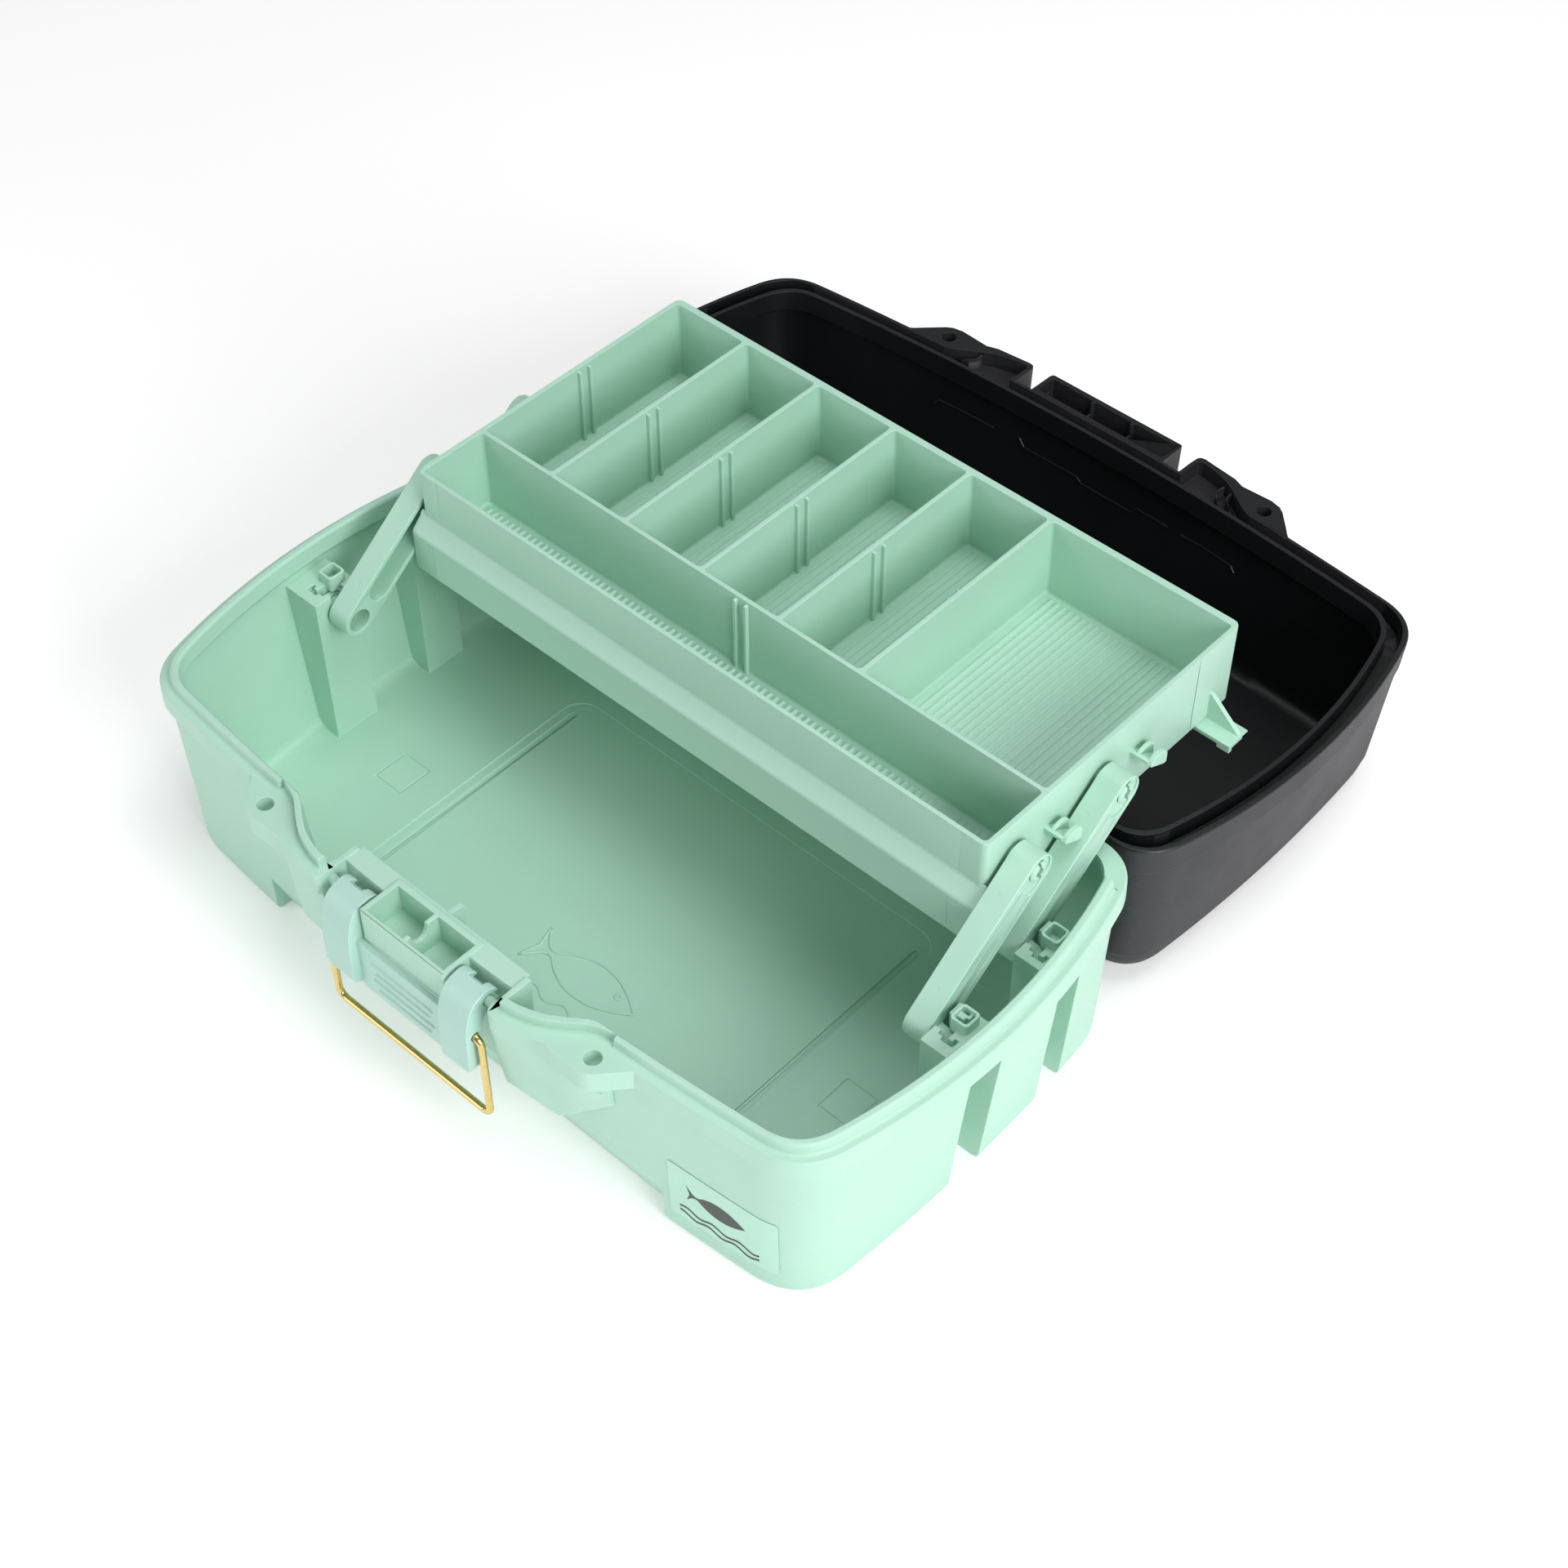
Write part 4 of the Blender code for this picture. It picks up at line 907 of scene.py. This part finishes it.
lines = []
for path in ([(-79, 112), (-77, 109.4), (-66, 109.0), (-47, 109.0)],
             [(-34, 107.4), (-31, 110.6), (-3, 110.6), (0, 112.6), (26, 112.6), (29, 109.4), (45, 109.4)],
             [(52, 109.4), (66, 109.0), (78, 109.6), (80, 112)]):
    pts = []
    for (x0, z0), (x1, z1) in zip(path[:-1], path[1:]):
        for i in range(6):
            x, z = x0 + (x1 - x0) * i / 6.0, z0 + (z1 - z0) * i / 6.0
            pts.append((x, lid_wall_y(x, z) + 0.05, z))
    x, z = path[-1]
    pts.append((x, lid_wall_y(x, z) + 0.05, z))
    lines.append(tube(pts, 0.38, 8))
o = merged(lines)
move(o, OPEN)
finish(o, "lid_inside_lines", [coal_in_painted_shade], "lid", bevel=0)


# ------------------------------------------------------------------ carrying handle
def build_handle():
    s = prism_z(rrect(-71.0, 71.0, -19.0, 10.0, 4.5, 5), 146.0, 155.4)
    add(s, *both(cyl_x(HANDLE_Y, HANDLE_Z, 4.6, 58.0, 71.0, 32)))
    cut(s, prism_z(rrect(-58.0, 58.0, -7.5, 40.0, 5.0, 5), 140.0, 170.0))
    cut(s, *both(prism_x([(HANDLE_Y - 1.0, 155.0), (HANDLE_Y - 1.0, 160.0), (HANDLE_Y + 9.0, 160.0), (HANDLE_Y + 9.0, 140.0),
                          (HANDLE_Y - 1.0, 140.0), (HANDLE_Y - 1.0, 145.2), (HANDLE_Y + 3.0, 146.4), (HANDLE_Y + 4.7, 150.0), (HANDLE_Y + 3.0, 153.8)], 57.0, 72.0)))
    add(s, *both(cyl_x(HANDLE_Y, HANDLE_Z, 2.5, 70.0, 77.2, 24)))
    # ribbed hollow on the underside of the grip
    cells = [box(-52.0 + 15.2 * k, -52.0 + 15.2 * k + 13.2, -17.2, -9.4, 140.0, 152.6) for k in range(7)]
    cut(s, *cells)
    return s


h = build_handle()
move(h, OPEN)
finish(h, "carry_handle", [coal_out], "handle", ("handle",), bevel=0.9, seg=3)


# ------------------------------------------------------------------ tray
def pivots():
    return [(py + ARM_LEN * math.cos(math.radians(ARM_REST)), PIVOT_Z + ARM_LEN * math.sin(math.radians(ARM_REST))) for py in PIVOT_Y]


CELLS = []
_edges = [-TRAY_X + 1.0] + list(TRAY_PARTITIONS) + [TRAY_X - 1.0]
for _a, _b in zip(_edges[:-1], _edges[1:]):
    CELLS.append((_a + 0.9, _b - 0.9, TRAY_DIVIDER_Y + 0.9, TRAY_Y1 - 3.0))
FRONT_CELL = (-TRAY_X + 1.9, TRAY_X - 1.9, TRAY_Y0 + 1.8, TRAY_DIVIDER_Y - 0.9)


def tray_cell(c, r=1.6):
    x0, x1, y0, y1 = c
    f = TRAY_FLOOR_Z
    d = 0.25
    return loft([[(x, y, f) for x, y in rrect(x0 + 1.3, x1 - 1.3, y0 + 1.3, y1 - 1.3, 0.9, 4)],
                 [(x, y, f + 0.4) for x, y in rrect(x0 + 0.6, x1 - 0.6, y0 + 0.6, y1 - 0.6, 1.2, 4)],
                 [(x, y, f + 1.3) for x, y in rrect(x0 + d, x1 - d, y0 + d, y1 - d, r, 4)],
                 [(x, y, 130.0) for x, y in rrect(x0, x1, y0, y1, r, 4)]])


def build_tray():
    s = prism_z(rrect(-TRAY_X, TRAY_X, TRAY_Y0, TRAY_Y1, 3.0, 6), TRAY_Z0, TRAY_Z1)
    apron = [(TRAY_Y0 + 1.0, 102.6), (TRAY_Y0, 101.6), (TRAY_Y0 - 0.5, 100.4), (31.9, 96.4), (31.2, 95.4), (31.0, 94.2), (31.0, 77.0), (32.8, 77.0), (32.8, 94.0),
             (33.2, 95.0), (TRAY_Y0 + 1.0, 98.4)]
    add(s, prism_x(apron, -140.2, 140.2))
    cut(s, tray_cell(FRONT_CELL))
    cut(s, *[tray_cell(c) for c in CELLS])
    pegs, lips, lugs = [], [], []
    for uy, uz in pivots():
        pegs += both(cyl_x(uy, uz, 3.4, 138.4, 150.5, 28))
        lips += both(loft([[(150.3, *q) for q in circle(uy, uz, 3.4, 28)], [(150.4, *q) for q in circle(uy, uz, 4.2, 28)],
                           [(150.8, *q) for q in circle(uy, uz, 4.2, 28)], [(151.6, *q) for q in circle(uy, uz, 3.3, 28)]]))
        lobe_ = [(uy + 17.2, uz - 2.4)] + [(uy + 22.0 + 4.9 * math.cos(math.radians(a)), uz - 2.6 + 3.5 * math.sin(math.radians(a))) for a in range(165, -15, -15)] + [(uy + 26.9, uz - 6.6), (uy + 25.2, uz - 6.6)]
        lugs.append((both(prism_x(lobe_, 141.6, 143.2)), both(prism_x(lobe_, 146.8, 148.9)),
                     both(prism_x([(uy + 17.0, uz - 0.6), (uy + 18.6, uz - 0.6), (uy + 25.6, uz - 5.2), (uy + 25.6, uz - 6.7), (uy + 24.4, uz - 6.7), (uy + 17.0, uz - 1.9)], 138.4, 147.2))))
    add(s, *pegs)
    for o in lips:
        add(s, o)
    cut(s, *[b_ for uy, uz in pivots() for b_ in both(box(143.0, 153.0, uy - 0.55, uy + 0.55, uz - 6.0, uz + 6.0))])
    cut(s, *[b_ for uy, uz in pivots() for b_ in both(cyl_x(uy, uz, 1.7, 143.0, 153.0, 20))])
    for group in lugs:
        for tool in reversed(group):
            add(s, *tool)
    add(s, *both(box(138.4, 154.6, 158.5, 170.0, 83.5, 85.5)))
    gus = prism_y([(138.4, 85.0), (153.6, 85.0), (153.6, 85.8), (140.2, 97.7), (138.4, 97.7)], 165.0, 166.8)
    add(s, *both(gus))
    add(s, *both(box(149.0, 154.6, 158.5, 160.6, 81.9, 84.0)))
    cut(s, *both(prism_z([(157.0, 172.0), (157.0, 164.0), (154.6, 166.6), (151.2, 170.3), (148.6, 172.0)], 80.0, 84.9)))
    # mould joint lines near the ends
    seams = both(box(128.48, 128.72, 30.0, 31.1, 76.0, 94.0)) + both(box(128.48, 128.72, 34.0, 36.4, 102.4, 124.0)) + both(box(139.2, 145.0, 155.0, 155.24, 84.0, 124.0))
    for o in seams:
        cut(s, o)
    return s


finish(build_tray(), "tray_moulding", [mint_satin], "tray", ("tray",), bevel=0.4)

# slots for loose dividers: pairs of ribs on the walls
ribs = []


def rib(x0, x1, y0, y1, z1=TRAY_Z1 - 1.4):
    ribs.append(loft([[(x, y, TRAY_FLOOR_Z - 0.3) for x, y in rrect(x0, x1, y0, y1, 0.35, 2)],
                      [(x, y, z1 - 0.5) for x, y in rrect(x0, x1, y0, y1, 0.35, 2)],
                      [(x, y, z1) for x, y in rrect(x0 + 0.3, x1 - 0.3, y0 + 0.3, y1 - 0.3, 0.1, 2)]], tri=False))


for i, (x0, x1, y0, y1) in enumerate(CELLS):
    for yy in (120.0, 125.4):
        if i < 5:
            rib(x0 - 0.5, x0 + 1.7, yy - 0.75, yy + 0.75)
            rib(x1 - 1.7, x1 + 0.5, yy - 0.75, yy + 0.75)
for xx in (-3.7, 1.5):
    rib(xx - 0.75, xx + 0.75, FRONT_CELL[3] - 1.7, FRONT_CELL[3] + 0.5)
    rib(xx - 0.75, xx + 0.75, FRONT_CELL[2] - 0.5, FRONT_CELL[2] + 1.5)
finish(merged(ribs), "tray_slot_ribs", [mint_satin], "tray", bevel=0)

# fine ridges on every compartment floor
ridges = []
for x0, x1, y0, y1 in CELLS + [FRONT_CELL]:
    n = int((x1 - x0 - 5.0) / 3.1)
    s0 = (x0 + x1) / 2.0 - (n - 1) * 3.1 / 2.0
    for k in range(n):
        x = s0 + k * 3.1
        ya, yb, f = y0 + 2.6, y1 - 2.6, TRAY_FLOOR_Z
        ridges.append(loft([[(x - 0.85, ya, f - 0.1), (x + 0.85, ya, f - 0.1), (x + 0.85, yb, f - 0.1), (x - 0.85, yb, f - 0.1)],
                            [(x - 0.75, ya + 0.1, f + 0.3), (x + 0.75, ya + 0.1, f + 0.3), (x + 0.75, yb - 0.1, f + 0.3), (x - 0.75, yb - 0.1, f + 0.3)],
                            [(x - 0.3, ya + 0.3, f + 0.7), (x + 0.3, ya + 0.3, f + 0.7), (x + 0.3, yb - 0.3, f + 0.7), (x - 0.3, yb - 0.3, f + 0.7)]], tri=False))
finish(merged(ridges), "tray_floor_ridges", [mint_satin], "tray", bevel=0)


# ------------------------------------------------------------------ arms
def build_arm(py, sgn):
    s = prism_x(capsule(0.0, ARM_LEN, ARM_R, 28), ARM_X0, ARM_X1)
    cut(s, prism_x(circle(0.0, 0.0, 4.9, 32), 139.0, 148.9), prism_x(capsule(14.4, ARM_LEN, 4.9, 24), 139.0, 148.9))
    cut(s, prism_x(capsule(58.6, 64.6, 5.0, 24), 150.1, 153.0))
    cut(s, prism_x(circle(ARM_LEN, 0.0, 3.75, 32), 147.0, 153.0))
    add(s, cyl_x(0.0, 0.0, 3.1, 150.0, 156.0, 28))
    add(s, cyl_x(0.0, 0.0, 4.9, 155.9, 158.2, 32))
    # ejector marks on the upper edge
    cut(s, cyl_z(145.5, 12.0, 1.0, 6.88, 8.0, 20), cyl_z(145.5, 50.0, 1.0, 6.88, 8.0, 20))
    move(s, rot_x(ARM_REST, 0.0, 0.0))
    move(s, Matrix.Translation((0.0, py, PIVOT_Z)))
    if sgn < 0:
        m = mirrored(s)
        bpy.data.objects.remove(s, do_unlink=True)
        s = m
    return s


for _pos, _py, _k in (("front", PIVOT_Y[0], "f"), ("rear", PIVOT_Y[1], "r")):
    for _side, _sgn in (("right", 1), ("left", -1)):
        nm = "arm_" + _pos + "_" + _side
        finish(build_arm(_py, _sgn), "swing_" + nm, [mint_satin], "arm_" + _k + _side[0], (nm,), bevel=0.4, seg=3, split=True)


# ------------------------------------------------------------------ latch lever and wire bail
def build_lever():
    leg = smooth_line([(-97.4, 84.0), (-100.6, 83.6), (-103.6, 82.2), (-106.0, 79.4), (-107.6, 75.6), (-108.6, 70.5), (-109.1, 64.0)], 4)
    leg += [(-109.2, 60.0), (-109.3, 52.0)] + smooth_line([(-109.3, 49.8), (-108.9, 47.8), (-107.6, 46.4), (-105.8, 46.0), (-104.0, 46.5), (-103.0, 48.0)], 3)
    leg += [(-102.6, 51.0), (-102.3, 60.0)] + smooth_line([(-101.8, 67.0), (-100.2, 72.4), (-97.4, 74.5)], 4)
    s = prism_x(leg, 22.5, 37.0)
    add(s, cyl_x(LEVER_Y, LEVER_Z, 4.9, 22.5, 37.0, 40))
    cut(s, cyl_x(LEVER_Y, LEVER_Z, 2.3, 20.0, 40.0, 28))
    cut(s, box(20.0, 40.0, LEVER_Y, LEVER_Y + 8.0, LEVER_Z - 1.9, LEVER_Z + 1.75))
    # window through the back of the hook
    cut(s, box(27.0, 33.4, LEVER_Y + 0.6, LEVER_Y + 8.0, LEVER_Z - 1.0, LEVER_Z + 8.0))
    # rounded lower corner of the leg
    cut(s, prism_y([(37.5, 43.8), (37.5, 51.8), (36.9, 51.0), (36.2, 49.0), (34.8, 47.2), (32.6, 46.1), (30.0, 45.7), (30.0, 43.8)], -115.0, -98.0))
    # hollow back
    cut(s, box(25.0, 34.6, -106.6, -100.0, 49.4, 61.0))
    cut(s, cyl_x(BAIL_Y, BAIL_Z, WIRE_R + 0.35, 30.4, 40.0, 24))
    m = mirrored(s)
    panel = prism_y([(-22.9, 44.6), (-21.6, 43.5), (21.6, 43.5), (22.9, 44.6), (22.9, 68.2), (-22.9, 68.2)], -105.6, -103.3)
    add(s, panel)
    add(s, m)
    for zc, hw in ((48.0, 14.0), (52.4, 16.0), (56.8, 14.0), (61.2, 16.0)):
        rings = []
        for x, k in ((-hw, 0.25), (-hw + 0.5, 0.75), (-hw + 1.3, 1.0), (hw - 1.3, 1.0), (hw - 0.5, 0.75), (hw, 0.25)):
            rings.append([(x, -105.2 - 1.1 * k * math.sin(math.pi * j / 8.0), zc + 0.95 * k * math.cos(math.pi * j / 8.0)) for j in range(9)])
        add(s, loft(rings, tri=False))
    return s


finish(build_lever(), "latch_lever_moulding", [latch_mint], "lever", ("latch_lever",), bevel=0.5, seg=3)


def build_bail():
    r, r2 = 4.0, 3.2
    z1 = BAIL_Z - BAIL_DROP
    path = [(31.0, BAIL_Z), (33.0, BAIL_Z), (BAIL_HALF - r2, BAIL_Z)]
    for i in range(1, 9):
        a = math.radians(90 - 90 * i / 8)
        path.append((BAIL_HALF - r2 + r2 * math.cos(a), BAIL_Z - r2 + r2 * math.sin(a)))
    for i in range(6):
        path.append((BAIL_HALF, BAIL_Z - r2 + (z1 + r - BAIL_Z + r2) * (i + 1) / 7.0))
    for i in range(0, 11):
        a = math.radians(-90 * i / 10)
        path.append((BAIL_HALF - r + r * math.cos(a), z1 + r + r * math.sin(a)))
    path += [(u, z1) for u in (24.0, 12.0)]
    path += [(0.0, z1)] + [(-x, z) for x, z in reversed(path)]
    rings = []
    for i, (x, z) in enumerate(path):
        xa, za = path[max(i - 1, 0)]
        xb, zb = path[min(i + 1, len(path) - 1)]
        d = Vector((xb - xa, 0.0, zb - za)).normalized()
        side = Vector((0.0, 1.0, 0.0))
        up = d.cross(side)
        c = Vector((x, BAIL_Y, z))
        rings.append([tuple(c + WIRE_R * (math.cos(2 * math.pi * k / 24) * side + math.sin(2 * math.pi * k / 24) * up)) for k in range(24)])
    return loft(rings, tri=False)


finish(build_bail(), "bail_wire", [brass], "bail", ("bail",), bevel=0.2)


# ------------------------------------------------------------------ floor, light, camera
def look(ob, target):
    d = Vector(target) - ob.location
    ob.rotation_euler = d.to_track_quat("-Z", "Y").to_euler()


fl = bpy.data.meshes.new("studio_floor")
fl.from_pydata([(-6, -6, -0.0002), (6, -6, -0.0002), (6, 6, -0.0002), (-6, 6, -0.0002)], [], [(0, 1, 2, 3)])
flo = bpy.data.objects.new("studio_floor", fl)
bpy.context.scene.collection.objects.link(flo)
fm = bpy.data.materials.new("pale_floor")
fm.use_nodes = True
_b = fm.node_tree.nodes["Principled BSDF"]
_n = fm.node_tree.nodes.new("ShaderNodeTexNoise")
_n.inputs["Scale"].default_value = 3.0
_r = fm.node_tree.nodes.new("ShaderNodeValToRGB")
_r.color_ramp.elements[0].color = (0.90, 0.90, 0.905, 1.0)
_r.color_ramp.elements[1].color = (0.93, 0.93, 0.93, 1.0)
fm.node_tree.links.new(_n.outputs["Fac"], _r.inputs["Fac"])
fm.node_tree.links.new(_r.outputs["Color"], _b.inputs["Base Color"])
_b.inputs["Roughness"].default_value = 0.9
_b.inputs["Emission Color"].default_value = (1.0, 1.0, 1.0, 1.0)
_b.inputs["Emission Strength"].default_value = 0.24
_b.inputs["Specular IOR Level"].default_value = 0.1
fl.materials.append(fm)

world = bpy.data.worlds.new("studio")
world.use_nodes = True
world.node_tree.nodes["Background"].inputs["Color"].default_value = (1.0, 1.0, 1.0, 1.0)
world.node_tree.nodes["Background"].inputs["Strength"].default_value = WORLD
bpy.context.scene.world = world


def area(name, loc, target, size, power, color=(1, 1, 1)):
    d = bpy.data.lights.new(name, "AREA")
    d.shape = "RECTANGLE"
    d.size, d.size_y, d.energy, d.color = size[0], size[1], power, color
    o = bpy.data.objects.new(name, d)
    o.location = loc
    look(o, target)
    bpy.context.scene.collection.objects.link(o)
    return o


for args in LIGHTS:
    area(*args)

cam = bpy.data.cameras.new("camera")
cam.sensor_width, cam.sensor_fit, cam.lens = 36.0, "HORIZONTAL", 60.7
cam.clip_start, cam.clip_end = 0.05, 30.0
co = bpy.data.objects.new("camera", cam)
co.location = (0.4743, -0.4295, 0.7834)
co.rotation_euler = (math.radians(90.0 - 47.84), 0.0, math.radians(42.42))
bpy.context.scene.collection.objects.link(co)
bpy.context.scene.camera = co
bpy.context.scene.view_settings.view_transform = "Standard"
bpy.context.scene.view_settings.look = "None"

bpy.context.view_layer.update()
